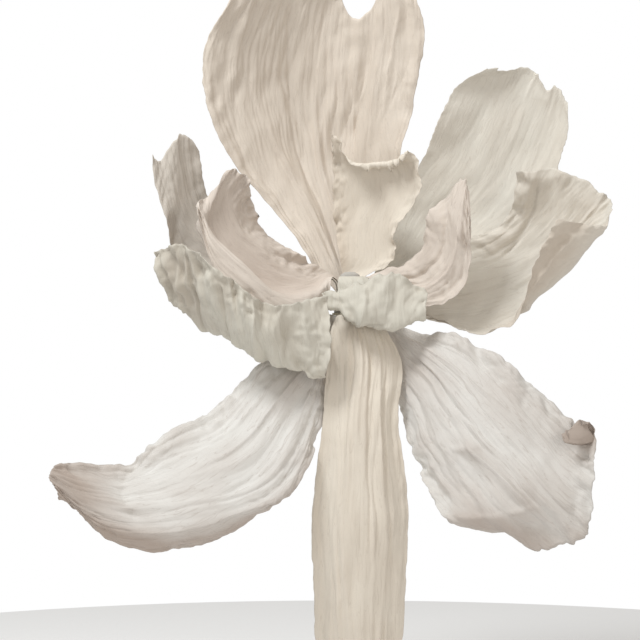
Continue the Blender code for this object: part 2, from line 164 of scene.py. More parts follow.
def through_points(points: np.ndarray, knots: np.ndarray, places: np.ndarray) -> np.ndarray:
    """Read a smooth curve through points at the given places.

    Between two knots it is the cubic that has the points as its ends.  Its slope at a knot is
    the mean of the slopes on both sides, each weighted by the length of the other side.

    Args:
        points: points along the first axis.
        knots: their places, rising from 0 to 1.
        places: where the curve is read.

    Returns:
        Array whose first axis follows places.
    """
    shape = (-1,) + (1,) * (points.ndim - 1)
    steps = np.diff(knots).reshape(shape)
    slopes = np.diff(points, axis=0) / steps
    inner = (slopes[:-1] * steps[1:] + slopes[1:] * steps[:-1]) / (steps[:-1] + steps[1:])
    tangents = np.concatenate((slopes[:1], inner, slopes[-1:]))
    index = np.clip(np.searchsorted(knots, places, side="right") - 1, 0, len(points) - 2)
    step = steps[index]
    t = (places - knots[index]).reshape(shape) / step
    return (
        points[index] * (2 * t**3 - 3 * t**2 + 1)
        + tangents[index] * step * (t**3 - 2 * t**2 + t)
        + points[index + 1] * (3 * t**2 - 2 * t**3)
        + tangents[index + 1] * step * (t**3 - t**2)
    )


def blurred(values: np.ndarray, reach: float, axis: int) -> np.ndarray:
    """Smooth an array along one axis with a bell curve.

    The ends are continued by point reflection, so that they stay where they are.

    Args:
        values: array to smooth.
        reach: standard deviation of the bell, in cells.
        axis: axis to smooth along.

    Returns:
        Smoothed array of the same shape.
    """
    half = max(1, int(3 * reach))
    values = np.moveaxis(values, axis, 0)
    half = min(half, len(values) - 1)
    before = 2 * values[:1] - values[half:0:-1]
    after = 2 * values[-1:] - values[-2 : -half - 2 : -1]
    padded = np.concatenate((before, values, after))
    weights = np.exp(-0.5 * (np.arange(-half, half + 1) / reach) ** 2)
    weights /= weights.sum()
    total = sum(w * padded[k : k + len(values)] for k, w in enumerate(weights))
    return np.moveaxis(total, 0, axis)


def read_grid(grid: np.ndarray, along: np.ndarray, across: np.ndarray) -> np.ndarray:
    """Read a grid between its points, mixing the four corners round each place.

    Args:
        grid: array (along, across, 3).
        along: places from 0 to 1 on the first axis.
        across: places from 0 to 1 on the second axis, of the same shape.

    Returns:
        Array of points of that shape.
    """
    u = np.clip(along, 0, 1) * (grid.shape[0] - 1)
    v = np.clip(across, 0, 1) * (grid.shape[1] - 1)
    i = np.minimum(u.astype(int), grid.shape[0] - 2)
    j = np.minimum(v.astype(int), grid.shape[1] - 2)
    a, b = (u - i)[..., None], (v - j)[..., None]
    near = grid[i, j] * (1 - b) + grid[i, j + 1] * b
    far = grid[i + 1, j] * (1 - b) + grid[i + 1, j + 1] * b
    return near * (1 - a) + far * a


def unit(vectors: np.ndarray) -> np.ndarray:
    """Scale vectors on the last axis to length 1."""
    return vectors / np.maximum(np.linalg.norm(vectors, axis=-1, keepdims=True), 1e-12)


def back_normals(grid: np.ndarray) -> np.ndarray:
    """Unit normals of a grid that point out of the petal's back: along times across."""
    return unit(np.cross(np.gradient(grid, axis=0), np.gradient(grid, axis=1)))


# --------------------------------------------------------------------------- meshes


def mesh_object(
    name: str,
    points: np.ndarray,
    quads: np.ndarray,
    loop_uv: np.ndarray | None = None,
    shade_tone: np.ndarray | None = None,
) -> bpy.types.Object:
    """Make a smooth-shaded object from whole arrays.

    Args:
        name: name of the object.
        points: corners, one row each, from the hub.
        quads: four corner numbers for each face, outside seen anticlockwise.
        loop_uv: place of each face's corner on the flat sheet, in metres.
        shade_tone: painted shade for each corner, which the paint reads.

    Returns:
        The linked object, with its origin at the world's.
    """
    mesh = bpy.data.meshes.new(name)
    mesh.vertices.add(len(points))
    mesh.vertices.foreach_set("co", (points + HUB).astype(np.float32).ravel())
    mesh.loops.add(quads.size)
    mesh.loops.foreach_set("vertex_index", quads.astype(np.int32).ravel())
    mesh.polygons.add(len(quads))
    mesh.polygons.foreach_set("loop_start", np.arange(0, quads.size, 4, dtype=np.int32))
    mesh.polygons.foreach_set("loop_total", np.full(len(quads), 4, dtype=np.int32))
    if loop_uv is not None:
        layer = mesh.uv_layers.new(name="sheet")
        layer.data.foreach_set("uv", loop_uv.astype(np.float32).ravel())
    if shade_tone is not None:
        layer = mesh.attributes.new("shade_tone", "FLOAT", "POINT")
        layer.data.foreach_set("value", shade_tone.astype(np.float32).ravel())
    mesh.update(calc_edges=True)
    mesh.shade_smooth()
    thing = bpy.data.objects.new(name, mesh)
    bpy.context.scene.collection.objects.link(thing)
    return thing


def grid_quads(rows: int, columns: int) -> np.ndarray:
    """Corner numbers of a grid's faces, anticlockwise when seen against its back normal."""
    first = (np.arange(rows - 1)[:, None] * columns + np.arange(columns - 1)).ravel()
    return np.stack((first, first + 1, first + columns + 1, first + columns), axis=1)


def rim_quads(rows: int, columns: int) -> np.ndarray:
    """Faces that close the rim between a grid's front and its back."""
    foot = np.arange(columns)
    right = np.arange(1, rows) * columns + columns - 1
    tip = (rows - 1) * columns + np.arange(columns - 2, -1, -1)
    left = np.arange(rows - 2, 0, -1) * columns
    loop = np.concatenate((foot, right, tip, left))
    following = np.roll(loop, -1)
    behind = rows * columns
    return np.stack((following, loop, loop + behind, following + behind), axis=1)


def tube_object(name: str, path: np.ndarray, radius: float, sides: int) -> bpy.types.Object:
    """Make a round tube with domed ends along a path.

    The rings stand square to the path.  Each ring's first direction is the last one's, with the
    part along the path taken away, so that the tube doesn't twist.  The sheet coordinates run
    round the tube and along it, in metres.

    Args:
        name: name of the object.
        path: points of the middle line, from the hub.
        radius: radius of the tube.
        sides: faces round it.

    Returns:
        The linked object.
    """
    tangents = unit(np.gradient(path, axis=0))
    dome = np.array((0.35, 0.75, 0.95))
    inset = radius * np.array((0.06, 0.34, 0.69))[:, None]
    start = path[0] + tangents[0] * inset
    end = path[-1] - tangents[-1] * inset[::-1]
    centres = np.concatenate((start, path[2:-2], end))
    directions = np.concatenate(
        (np.repeat(tangents[:1], 3, 0), tangents[2:-2], np.repeat(tangents[-1:], 3, 0))
    )
    sizes = np.concatenate((radius * dome, np.full(len(path) - 4, radius), radius * dome[::-1]))
    side = unit(np.cross(directions[0], (0.31, 0.17, 0.93)))
    sides_along = []
    for direction in directions:
        side = unit(side - direction * (side @ direction))
        sides_along.append(side)
    first = np.array(sides_along)
    second = np.cross(directions, first)
    turn = np.linspace(0, math.tau, sides, endpoint=False)
    rings = (
        centres[:, None]
        + sizes[:, None, None] * np.cos(turn)[None, :, None] * first[:, None]
        + sizes[:, None, None] * np.sin(turn)[None, :, None] * second[:, None]
    )
    count = len(centres)
    points = np.concatenate((rings.reshape(-1, 3), centres[:1], centres[-1:]))
    i = np.arange(count - 1)[:, None] * sides
    j = np.arange(sides)
    k = (j + 1) % sides
    walls = np.stack((i + j, i + k, i + k + sides, i + j + sides), axis=2).reshape(-1, 4)
    low, high = count * sides, count * sides + 1
    pairs = np.arange(0, sides, 2)
    middle = (pairs + 1) % sides
    last = (pairs + 2) % sides
    top = (count - 1) * sides
    caps = np.concatenate(
        (
            np.stack((np.full(len(pairs), low), last, middle, pairs), axis=1),
            np.stack((np.full(len(pairs), high), top + pairs, top + middle, top + last), axis=1),
        )
    )
    lengths = np.concatenate(([0], np.cumsum(np.linalg.norm(np.diff(centres, axis=0), axis=1))))
    low_s, high_s = lengths[:-1, None], lengths[1:, None]
    turn_step = math.tau * radius / sides
    left, right = j * turn_step, (j + 1) * turn_step
    wall_uv = np.stack(
        (
            np.stack(np.broadcast_arrays(left, low_s), axis=2),
            np.stack(np.broadcast_arrays(right, low_s), axis=2),
            np.stack(np.broadcast_arrays(right, high_s), axis=2),
            np.stack(np.broadcast_arrays(left, high_s), axis=2),
        ),
        axis=2,
    ).reshape(-1, 2)
    cap_uv = np.zeros((caps.size, 2))
    return mesh_object(name, points, np.concatenate((walls, caps)), np.concatenate((wall_uv, cap_uv)))


# --------------------------------------------------------------------------- finishes


def node_group(name: str, inputs: dict[str, tuple[str, object]], outputs: dict[str, str]):
    """Make a shader node group with named sockets.

    Args:
        name: name of the group.
        inputs: socket name to its type and its default.
        outputs: socket name to its type.

    Returns:
        The node tree, and its input and output nodes.
    """
    tree = bpy.data.node_groups.new(name, "ShaderNodeTree")
    for socket, (kind, default) in inputs.items():
        made = tree.interface.new_socket(name=socket, in_out="INPUT", socket_type=kind)
        if default is not None:
            made.default_value = default
    for socket, kind in outputs.items():
        tree.interface.new_socket(name=socket, in_out="OUTPUT", socket_type=kind)
    return tree, tree.nodes.new("NodeGroupInput"), tree.nodes.new("NodeGroupOutput")


def math_node(tree: bpy.types.NodeTree, operation: str, *values: object) -> bpy.types.NodeSocket:
    """Add a Math node; each value is a number or the socket that feeds it."""
    node = tree.nodes.new("ShaderNodeMath")
    node.operation = operation
    for socket, value in zip(node.inputs, values):
        if isinstance(value, (int, float)):
            socket.default_value = value
        else:
            tree.links.new(value, socket)
    return node.outputs[0]


def noise_node(
    tree: bpy.types.NodeTree, place: bpy.types.NodeSocket, scale: float, detail: float
) -> bpy.types.NodeSocket:
    """Add a Noise Texture and return its value."""
    node = tree.nodes.new("ShaderNodeTexNoise")
    node.inputs["Scale"].default_value = scale
    node.inputs["Detail"].default_value = detail
    tree.links.new(place, node.inputs["Vector"])
    return node.outputs["Fac"]


def stretched(
    tree: bpy.types.NodeTree, place: bpy.types.NodeSocket, scale: tuple[float, float, float]
) -> bpy.types.NodeSocket:
    """Add a Mapping node that scales a place."""
    node = tree.nodes.new("ShaderNodeMapping")
    node.inputs["Scale"].default_value = scale
    tree.links.new(place, node.inputs["Vector"])
    return node.outputs["Vector"]


class Groups:
    """Node groups that several finishes share, each made once."""

    made: dict[str, bpy.types.NodeTree] = {}

    @classmethod
    def paper_grain(cls) -> bpy.types.NodeTree:
        """Crepe grain: fine ridges along the sheet, soft fibres, slow blotches and thin crease lines.

        Returns:
            Group with a Height for bump, a Blotch and a Fibre mask from 0 to 1, and a Crease mask of thin
            lines that the petal paint darkens as painted shade.
        """
        if "paper_grain" in cls.made:
            return cls.made["paper_grain"]
        tree, entry, leave = node_group(
            "paper_grain",
            {
                "Place": ("NodeSocketVector", None),
                "Ridge Share": ("NodeSocketFloat", 0.6),
            },
            {
                "Height": "NodeSocketFloat",
                "Blotch": "NodeSocketFloat",
                "Fibre": "NodeSocketFloat",
                "Crease": "NodeSocketFloat",
            },
        )
        place = entry.outputs["Place"]
        ridges = noise_node(tree, stretched(tree, place, (330.0, 16.0, 1.0)), 1.0, 3.0)
        pleats = noise_node(tree, stretched(tree, place, (95.0, 7.0, 1.0)), 1.0, 2.0)
        fibre = noise_node(tree, stretched(tree, place, (420.0, 260.0, 1.0)), 1.0, 4.0)
        blotch = noise_node(tree, stretched(tree, place, (9.0, 5.0, 1.0)), 1.0, 3.0)
        ridge_part = math_node(tree, "MULTIPLY", ridges, entry.outputs["Ridge Share"])
        pleat_part = math_node(tree, "MULTIPLY", pleats, 1.4)
        fibre_part = math_node(tree, "MULTIPLY", fibre, 0.35)
        long_lines = cls.crease_lines(tree, stretched(tree, place, (52.0, 4.5, 1.0)), 0.012)
        cross_lines = cls.crease_lines(tree, stretched(tree, place, (44.0, 30.0, 1.0)), 0.010)
        cross_part = math_node(tree, "MULTIPLY", cross_lines, 0.45)
        crease = math_node(tree, "MAXIMUM", long_lines, cross_part)
        smooth = math_node(tree, "ADD", math_node(tree, "ADD", ridge_part, pleat_part), fibre_part)
        height = math_node(tree, "MULTIPLY_ADD", crease, -0.35, smooth)
        tree.links.new(crease, leave.inputs["Crease"])
        tree.links.new(height, leave.inputs["Height"])
        tree.links.new(blotch, leave.inputs["Blotch"])
        tree.links.new(fibre, leave.inputs["Fibre"])
        cls.made["paper_grain"] = tree
        return tree

    @staticmethod
    def crease_lines(
        tree: bpy.types.NodeTree, place: bpy.types.NodeSocket, half: float
    ) -> bpy.types.NodeSocket:
        """Thin lines where noise passes its mean: 1 on the line, 0 past its half width."""
        off = math_node(tree, "SUBTRACT", noise_node(tree, place, 1.0, 2.0), 0.5)
        ramp = tree.nodes.new("ShaderNodeMapRange")
        tree.links.new(math_node(tree, "ABSOLUTE", off), ramp.inputs["Value"])
        ramp.inputs["From Max"].default_value = half
        ramp.inputs["To Min"].default_value = 1.0
        ramp.inputs["To Max"].default_value = 0.0
        return ramp.outputs["Result"]

    @classmethod
    def wear(cls) -> bpy.types.NodeTree:
        """Patchy wear from object-space noise: a mask from 0 to 1 and a fine height.

        Returns:
            Group with Mask and Height outputs.
        """
        if "wear" in cls.made:
            return cls.made["wear"]
        tree, entry, leave = node_group(
            "wear",
            {"Place": ("NodeSocketVector", None), "Low": ("NodeSocketFloat", 0.4)},
            {"Mask": "NodeSocketFloat", "Height": "NodeSocketFloat"},
        )
        slow = noise_node(tree, entry.outputs["Place"], 38.0, 4.0)
        fine = noise_node(tree, entry.outputs["Place"], 420.0, 3.0)
        mask = tree.nodes.new("ShaderNodeMapRange")
        tree.links.new(slow, mask.inputs["Value"])
        tree.links.new(entry.outputs["Low"], mask.inputs["From Min"])
        mask.inputs["From Max"].default_value = 0.7
        tree.links.new(mask.outputs["Result"], leave.inputs["Mask"])
        tree.links.new(fine, leave.inputs["Height"])
        cls.made["wear"] = tree
        return tree


def start_material(name: str) -> tuple[bpy.types.Material, bpy.types.ShaderNode]:
    """Make a material and return it with its Principled BSDF."""
    material = bpy.data.materials.new(name)
    material.use_nodes = True
    return material, material.node_tree.nodes["Principled BSDF"]


def mixed_colour(
    tree: bpy.types.NodeTree, share: bpy.types.NodeSocket, first: object, second: object
) -> bpy.types.NodeSocket:
    """Add a colour mix; first and second are colours or sockets."""
    node = tree.nodes.new("ShaderNodeMix")
    node.data_type = "RGBA"
    tree.links.new(share, node.inputs[0])
    for socket, value in ((node.inputs[6], first), (node.inputs[7], second)):
        if isinstance(value, tuple):
            socket.default_value = (*value, 1.0)
        else:
            tree.links.new(value, socket)
    return node.outputs[2]


def add_bump(
    tree: bpy.types.NodeTree,
    shader: bpy.types.ShaderNode,
    height: bpy.types.NodeSocket,
    strength: float,
    distance: float,
) -> None:
    """Feed a height through a Bump node to a shader's Normal."""
    bump = tree.nodes.new("ShaderNodeBump")
    bump.inputs["Strength"].default_value = strength
    bump.inputs["Distance"].default_value = distance
    tree.links.new(height, bump.inputs["Height"])
    tree.links.new(bump.outputs["Normal"], shader.inputs["Normal"])


@dataclass(frozen=True)
class PaperFinish:
    """White crepe paper, stiffened with glue.

    Attributes:
        name: name of the material.
        pale: colour of the plain paper.
        warm: colour of the paper's slow blotches, and of the painted shade where the shade_tone attribute
            is 1.
        roughness: roughness of the surface.
        grain: strength of the bump.
    """

    name: str
    pale: tuple[float, float, float]
    warm: tuple[float, float, float]
    roughness: float = 0.82
    grain: float = 0.55

    def make(self) -> bpy.types.Material:
        """Build the material on the sheet coordinates of a petal."""
        material, shader = start_material(self.name)
        tree = material.node_tree
        place = tree.nodes.new("ShaderNodeUVMap")
        place.uv_map = "sheet"
        grain = tree.nodes.new("ShaderNodeGroup")
        grain.node_tree = Groups.paper_grain()
        tree.links.new(place.outputs["UV"], grain.inputs["Place"])
        # The attribute brings painted shade, which is added to the paper's own slow blotches.
        shade_tone = tree.nodes.new("ShaderNodeAttribute")
        shade_tone.attribute_name = "shade_tone"
        spread = math_node(tree, "SUBTRACT", grain.outputs["Blotch"], 0.5)
        share = math_node(tree, "MULTIPLY_ADD", spread, 0.9, shade_tone.outputs["Fac"])
        clipped = tree.nodes.new("ShaderNodeClamp")
        tree.links.new(share, clipped.inputs["Value"])
        colour = mixed_colour(tree, clipped.outputs[0], self.pale, self.warm)
        darker = tuple(0.85 * channel for channel in self.warm)
        # The colour darkens in the paper's own fibre flecks and, as painted shade, along the crease
        # lines.
        fibre_and_crease_shade = math_node(tree, "MULTIPLY", grain.outputs["Fibre"], 0.22)
        fibre_and_crease_shade = math_node(tree, "MULTIPLY_ADD", grain.outputs["Crease"], 0.30, fibre_and_crease_shade)
        tree.links.new(mixed_colour(tree, fibre_and_crease_shade, colour, darker), shader.inputs["Base Color"])
        rough = math_node(tree, "MULTIPLY_ADD", grain.outputs["Fibre"], 0.12, self.roughness - 0.06)
        tree.links.new(rough, shader.inputs["Roughness"])
        shader.inputs["Specular IOR Level"].default_value = 0.25
        add_bump(tree, shader, grain.outputs["Height"], self.grain, 0.0012)
        return material


@dataclass(frozen=True)
class WoundPaperFinish:
    """Narrow paper strip wound on the slant round a wire or a stem.

    Attributes:
        name: name of the material.
        colour: colour of the strip.
        turns: turns for each metre.
        slant: metres along for each metre round, as the strip climbs.
        depth: height of the strip's edge.
    """

    name: str
    colour: tuple[float, float, float]
    turns: float
    slant: float
    depth: float

    def make(self) -> bpy.types.Material:
        """Build the material on sheet coordinates: a saw-tooth along the tube."""
        material, shader = start_material(self.name)
        tree = material.node_tree
        place = tree.nodes.new("ShaderNodeUVMap")
        place.uv_map = "sheet"
        parts = tree.nodes.new("ShaderNodeSeparateXYZ")
        tree.links.new(place.outputs["UV"], parts.inputs[0])
        climb = math_node(tree, "MULTIPLY_ADD", parts.outputs[0], self.slant, parts.outputs[1])
        step = math_node(tree, "FRACT", math_node(tree, "MULTIPLY", climb, self.turns))
        grain = tree.nodes.new("ShaderNodeGroup")
        grain.node_tree = Groups.paper_grain()
        tree.links.new(place.outputs["UV"], grain.inputs["Place"])
        edge = math_node(tree, "POWER", step, 6.0)
        darker = tuple(0.72 * channel for channel in self.colour)
        shade = math_node(tree, "MULTIPLY_ADD", grain.outputs["Fibre"], 0.35, edge)
        clipped = math_node(tree, "MINIMUM", shade, 1.0)
        tree.links.new(mixed_colour(tree, clipped, self.colour, darker), shader.inputs["Base Color"])
        height = math_node(tree, "MULTIPLY_ADD", grain.outputs["Height"], 0.25, step)
        shader.inputs["Roughness"].default_value = 0.8
        add_bump(tree, shader, height, 0.8, self.depth)
        return material


@dataclass(frozen=True)
class SolidFinish:
    """Finish of a solid core or stem, on object coordinates.

    Attributes:
        name: name of the material.
        colour: main colour.
        second: colour of the grain or the patches.
        stretch: scale of the grain along X, Y and Z.
        roughness: mean roughness.
        depth: height of the bump.
    """

    name: str
    colour: tuple[float, float, float]
    second: tuple[float, float, float]
    stretch: tuple[float, float, float]
    roughness: float
    depth: float

    def make(self) -> bpy.types.Material:
        """Build the material: stretched grain mixed with patchy wear."""
        material, shader = start_material(self.name)
        tree = material.node_tree
        place = tree.nodes.new("ShaderNodeTexCoord").outputs["Object"]
        lines = noise_node(tree, stretched(tree, place, self.stretch), 1.0, 4.0)
        wear = tree.nodes.new("ShaderNodeGroup")
        wear.node_tree = Groups.wear()
        tree.links.new(place, wear.inputs["Place"])
        share = math_node(tree, "MULTIPLY_ADD", wear.outputs["Mask"], 0.5, lines)
        softer = math_node(tree, "MULTIPLY", share, 0.8)
        clipped = math_node(tree, "MINIMUM", softer, 1.0)
        tree.links.new(mixed_colour(tree, clipped, self.colour, self.second), shader.inputs["Base Color"])
        rough = math_node(tree, "MULTIPLY_ADD", lines, 0.15, self.roughness - 0.07)
        tree.links.new(rough, shader.inputs["Roughness"])
        height = math_node(tree, "MULTIPLY_ADD", wear.outputs["Height"], 0.5, lines)
        add_bump(tree, shader, height, 0.7, self.depth)
        return material


# --------------------------------------------------------------------------- petals


@dataclass(frozen=True)
class Notch:
    """Round bite or bump in a petal's tip: place across and half width as shares, and depth."""

    place: float
    half_width: float
    depth: float


@dataclass(frozen=True)
class Fold:
    """Sharp crease between two places of a sheet.

    Attributes:
        start: where it begins, as shares along and across.
        end: where it ends.
        half: half width in metres.
        height: height of the crest, towards the back if positive.
        lean: from -1 to 1, how much steeper one flank is than the other.
        bow: how far its middle stands aside of a straight line, in metres.
    """

    start: tuple[float, float]
    end: tuple[float, float]
    half: float
    height: float
    lean: float = 0.0
    bow: float = 0.0


class Edge(Enum):
    """Edges of a sheet: its tip, and its sides with the places across 0 and 1."""

    TIP = "tip"
    FIRST = "first"
    LAST = "last"


@dataclass(frozen=True)
class Roll:
    """Stretch of an edge that rolls towards the front.

    Attributes:
        edge: the edge that rolls.
        centre: middle of the stretch, as a share of the edge.
        reach: half of its length, as a share of the edge.
        length: length of paper in the roll.
        radius: radius of the roll.
    """

    edge: Edge
    centre: float
    reach: float
    length: float
    radius: float


@dataclass(frozen=True)
class PaintedShading:
    """Soft patch of painted shading: above 0 its amount paints shade in the paper's warm colour, below 0
    it paints light.

    Attributes:
        centre: its middle, as shares along and across.
        reach: how far it reaches along and across, as shares.
        amount: how much painted shade it adds; below 0 it paints light.
    """

    centre: tuple[float, float]
    reach: tuple[float, float]
    amount: float


@dataclass(frozen=True)
class Wrinkles:
    """How a petal's paper is creased.

    Attributes:
        pleats: heights of the coarse, middle and fine creases that fan out from the foot.
        pleat_counts: how many creases of each kind cross a row.
        swell: height of the slow waves.
        swell_size: length of those waves.
        edge_swell: height of the waves at the edges.
        crumple: height of the facets of crushed paper.
        crumple_size: size of those facets.
        crumple_middle: share of the crumple that the middle of the petal keeps.
        ragged: how far the cut edge wanders.
        crumple_reach: how far in from the edge the crumple keeps its full height.
    """

    pleats: tuple[float, float, float] = (0.004, 0.0022, 0.0009)
    pleat_counts: tuple[float, float, float] = (4.0, 11.0, 34.0)
    swell: float = 0.004
    swell_size: float = 0.16
    edge_swell: float = 0.008
    crumple: float = 0.0015
    crumple_size: float = 0.055
    crumple_middle: float = 0.2
    crumple_reach: float = 0.09
    ragged: float = 0.003


@dataclass
class Petal:
    """One sheet of paper with its wires.

    Attributes:
        name: name of the petal.
        tier: tier of the core that its foot is glued to.
        facing: direction of the foot in degrees, 0 at the front and 90 at the right.
        spread: half of the angle that the foot covers, in degrees.
        rows: points from the foot to the tip, clockwise in each row as seen from above.
        wrinkles: how the paper is creased.
        finish: name of the paper finish.
        seed: number that fixes the creases.
        wired: whether wires are glued to the back.
        side_wires: places of the side wires, as shares of the width.
        notches: bites and bumps in the tip's edge.
        folds: single creases.
        rolls: rolled stretches of its edges.
        painted_shading: patches of painted shade, and of painted light where their amount is below 0.
    """

    name: str
    tier: Tier
    facing: float
    spread: float
    rows: tuple
    wrinkles: Wrinkles
    finish: str
    seed: int
    wired: bool = True
    side_wires: tuple[float, ...] = ()
    notches: tuple[Notch, ...] = ()
    folds: tuple[Fold, ...] = ()
    rolls: tuple[Roll, ...] = ()
    painted_shading: tuple[PaintedShading, ...] = ()

    def foot_rows(self, across: np.ndarray) -> np.ndarray:
        """Rows of the foot: arcs round the stem's axis that lean out step by step."""
        core_radius, base = self.tier.value
        angles = np.radians(self.facing + self.spread * (1 - 2 * across))
        rows = []
        for out, up in FOOT_ROWS:
            radius = core_radius + FOOT_GAP + 0.0005 + out
            height = np.full(len(across), base + up)
            rows.append(np.stack((radius * np.sin(angles), -radius * np.cos(angles), height), axis=1))
        return np.array(rows)

    def smooth_sheet(self, dense: int = 420, wide: int = 220) -> np.ndarray:
        """Smooth middle surface of the petal on a dense even grid.

        Each row is read across as a smooth curve, and every place across is then read along.
        A bell curve evens out the bends between rows, except at the glued foot.
        """
        across = np.linspace(0, 1, wide)
        rows = np.array(self.rows)
        places = np.linspace(0, 1, rows.shape[1])
        blade = through_points(rows.transpose(1, 0, 2), places, across).transpose(1, 0, 2)
        cage = np.concatenate((self.foot_rows(across), blade))
        knots = knots_of(cage)
        along = np.linspace(0, 1, dense)
        sheet = through_points(cage, knots, along)
        even = blurred(blurred(sheet, dense * 0.016, 0), wide * 0.02, 1)
        keep = smoothstep(knots[3], knots[3] + 0.12, along)[:, None, None]
        return sheet * (1 - keep) + even * keep

    def outline(self, along: np.ndarray, across: np.ndarray, size: tuple[float, float]):
        """Bend the grid's places so that the cut edge wanders and has its notches.

        A place across moves out from the middle by a share that noise along the edge gives.  A
        place along is scaled by the reach of the tip there.

        Args:
            along: places along, as a grid.
            across: places across, as a grid.
            size: length and greatest width of the petal.

        Returns:
            The two grids of bent places.
        """
        length, width = size
        noise = Noise(self.seed + 91)
        wander = self.wrinkles.ragged
        side = across * 2 - 1
        waves = noise(along * length / 0.06, np.sign(side) * 3.7)
        waves += 0.6 * noise(along * length / 0.021, np.sign(side) * 9.1)
        growth = smoothstep(0.12, 0.3, along)
        pulled = side * (1 - growth * np.abs(side) ** 3 * (0.5 + waves) * wander / (width / 2))
        reach = 1 - wander / length * (1 + noise(across * width / 0.05, 1.3 + 0 * across))
        reach -= 0.8 * wander / length * noise(across * width / 0.018, 7.3 + 0 * across)
        for notch in self.notches:
            near = np.clip(1 - np.abs(across - notch.place) / notch.half_width, 0, 1)
            reach -= notch.depth * np.sin(near * math.pi / 2) ** 0.8
        return along * reach, (pulled + 1) / 2

    def pleats(self, along: np.ndarray, across: np.ndarray, row_width: np.ndarray) -> np.ndarray:
        """Height of the creases that fan out from the foot.

        A crest stands where noise over the places across and along is zero: 1 - 2 |noise| falls
        off sharply on both sides of it.  Every second kind is turned over, so that it makes
        grooves.  Slow noise lets each kind come and go, and all are lower where rows are short.
        """
        wrinkles = self.wrinkles
        narrow = (row_width / row_width.max()) ** 0.7
        total = np.zeros_like(along)
        for kind, (height, count) in enumerate(zip(wrinkles.pleats, wrinkles.pleat_counts)):
            noise = Noise(self.seed * 7 + kind)
            drift = 0.5 * noise(along * 3.1 * (kind + 1), across * count * 0.4 + 20)
            crest = 1 - 2 * np.abs(noise(across * count + drift, along * 1.2 * (kind + 1)))
            patch = smoothstep(-0.6, 0.5, noise(across * 3.1 + 50, along * 3.7 + 9))
            total += (1 if kind % 2 else -1) * height * crest * (0.35 + 0.65 * patch)
        return total * narrow

    def folded(self, along, across, s, t) -> np.ndarray:
        """Height of the single folds.

        With d the distance to the fold's line and q the share along it, the height is
        exp(-sqrt((d / half width)^2 + 0.02)), faded out towards both ends.
        """
        total = np.zeros_like(s)
        for fold in self.folds:
            ends = []
            for u, v in (fold.start, fold.end):
                nearest = np.argmin((along - u) ** 2 + (across - v) ** 2)
                ends.append((s.ravel()[nearest], t.ravel()[nearest]))
            (s0, t0), (s1, t1) = ends
            run = math.hypot(s1 - s0, t1 - t0)
            ds, dt = (s1 - s0) / run, (t1 - t0) / run
            q = ((s - s0) * ds + (t - t0) * dt) / run
            d = (t - t0) * ds - (s - s0) * dt
            inside = np.clip(q, 0, 1)
            d = d - fold.bow * 4 * inside * (1 - inside)
            half = fold.half * (1 + fold.lean * np.tanh(d / (0.4 * fold.half)))
            fade = smoothstep(-0.08, 0.18, q) * (1 - smoothstep(0.8, 1.08, q))
            total += fold.height * np.exp(-np.sqrt((d / half) ** 2 + 0.02)) * fade
        return total

    def crumple(self, s: np.ndarray, t: np.ndarray) -> np.ndarray:
        """Height of crushed paper: flat facets that meet in sharp creases.

        Three layers of facets are added, each about half as large and high as the last and
        turned against it.  Slow noise bends the places first, so that no lattice shows, and
        makes some patches lie flatter.
        """
        size = self.wrinkles.crumple_size
        noise = Noise(self.seed + 29)
        bend_s = s + 0.30 * size * noise(s / (1.3 * size), t / (1.3 * size))
        bend_t = t + 0.30 * size * noise(s / (1.3 * size) + 31.7, t / (1.3 * size) + 11.3)
        total = np.zeros_like(s)
        for layer in range(3):
            angle = 0.7 + 1.1 * layer
            step = size * 0.55**layer
            x = (bend_s * math.cos(angle) + bend_t * math.sin(angle)) / step + 13 * layer
            y = (bend_t * math.cos(angle) - bend_s * math.sin(angle)) / step + 7 * layer
            total += 0.55**layer * noise.facets(x, y)
        patch = smoothstep(-0.7, 0.5, noise(s / (2.6 * size) + 5, t / (2.6 * size) - 4))
        return total * (0.3 + 0.7 * patch)

    def height(self, along, across, s, t, edge, row_width) -> np.ndarray:
        """Add up everything that lifts the paper from the smooth sheet.

        Args:
            along: places along the petal, 0 to 1.
            across: places across it, 0 to 1.
            s: distance along in metres.
            t: distance across in metres, from the rib.
            edge: distance in metres to the nearest side edge or the tip.
            row_width: width of the petal at each place.

        Returns:
            Grid of heights towards the petal's back.
        """
        wrinkles = self.wrinkles
        noise = Noise(self.seed + 3)
        size = wrinkles.swell_size
        swell = noise(s / size, t / (0.7 * size)) + 0.4 * noise(s / (0.4 * size) + 9, t / (0.3 * size))
        near = np.clip(1 - edge / 0.10, 0, 1) ** 1.5
        side = np.sign(t)
        waves = noise(s / 0.11 + 30, 3.3 * side) + 0.5 * noise(s / 0.045 + 60, 5.7 * side)
        inward = np.clip(edge / wrinkles.crumple_reach, 0, 1)
        keep = 1 - (1 - wrinkles.crumple_middle) * inward
        total = wrinkles.swell * swell + wrinkles.edge_swell * near * waves
        total += self.pleats(along, across, row_width) * smoothstep(0.0, 0.02, edge + 0.012)
        total += wrinkles.crumple * keep * self.crumple(s, t)
        total += self.folded(along, across, s, t)
        return total * smoothstep(0.045, 0.14, s)

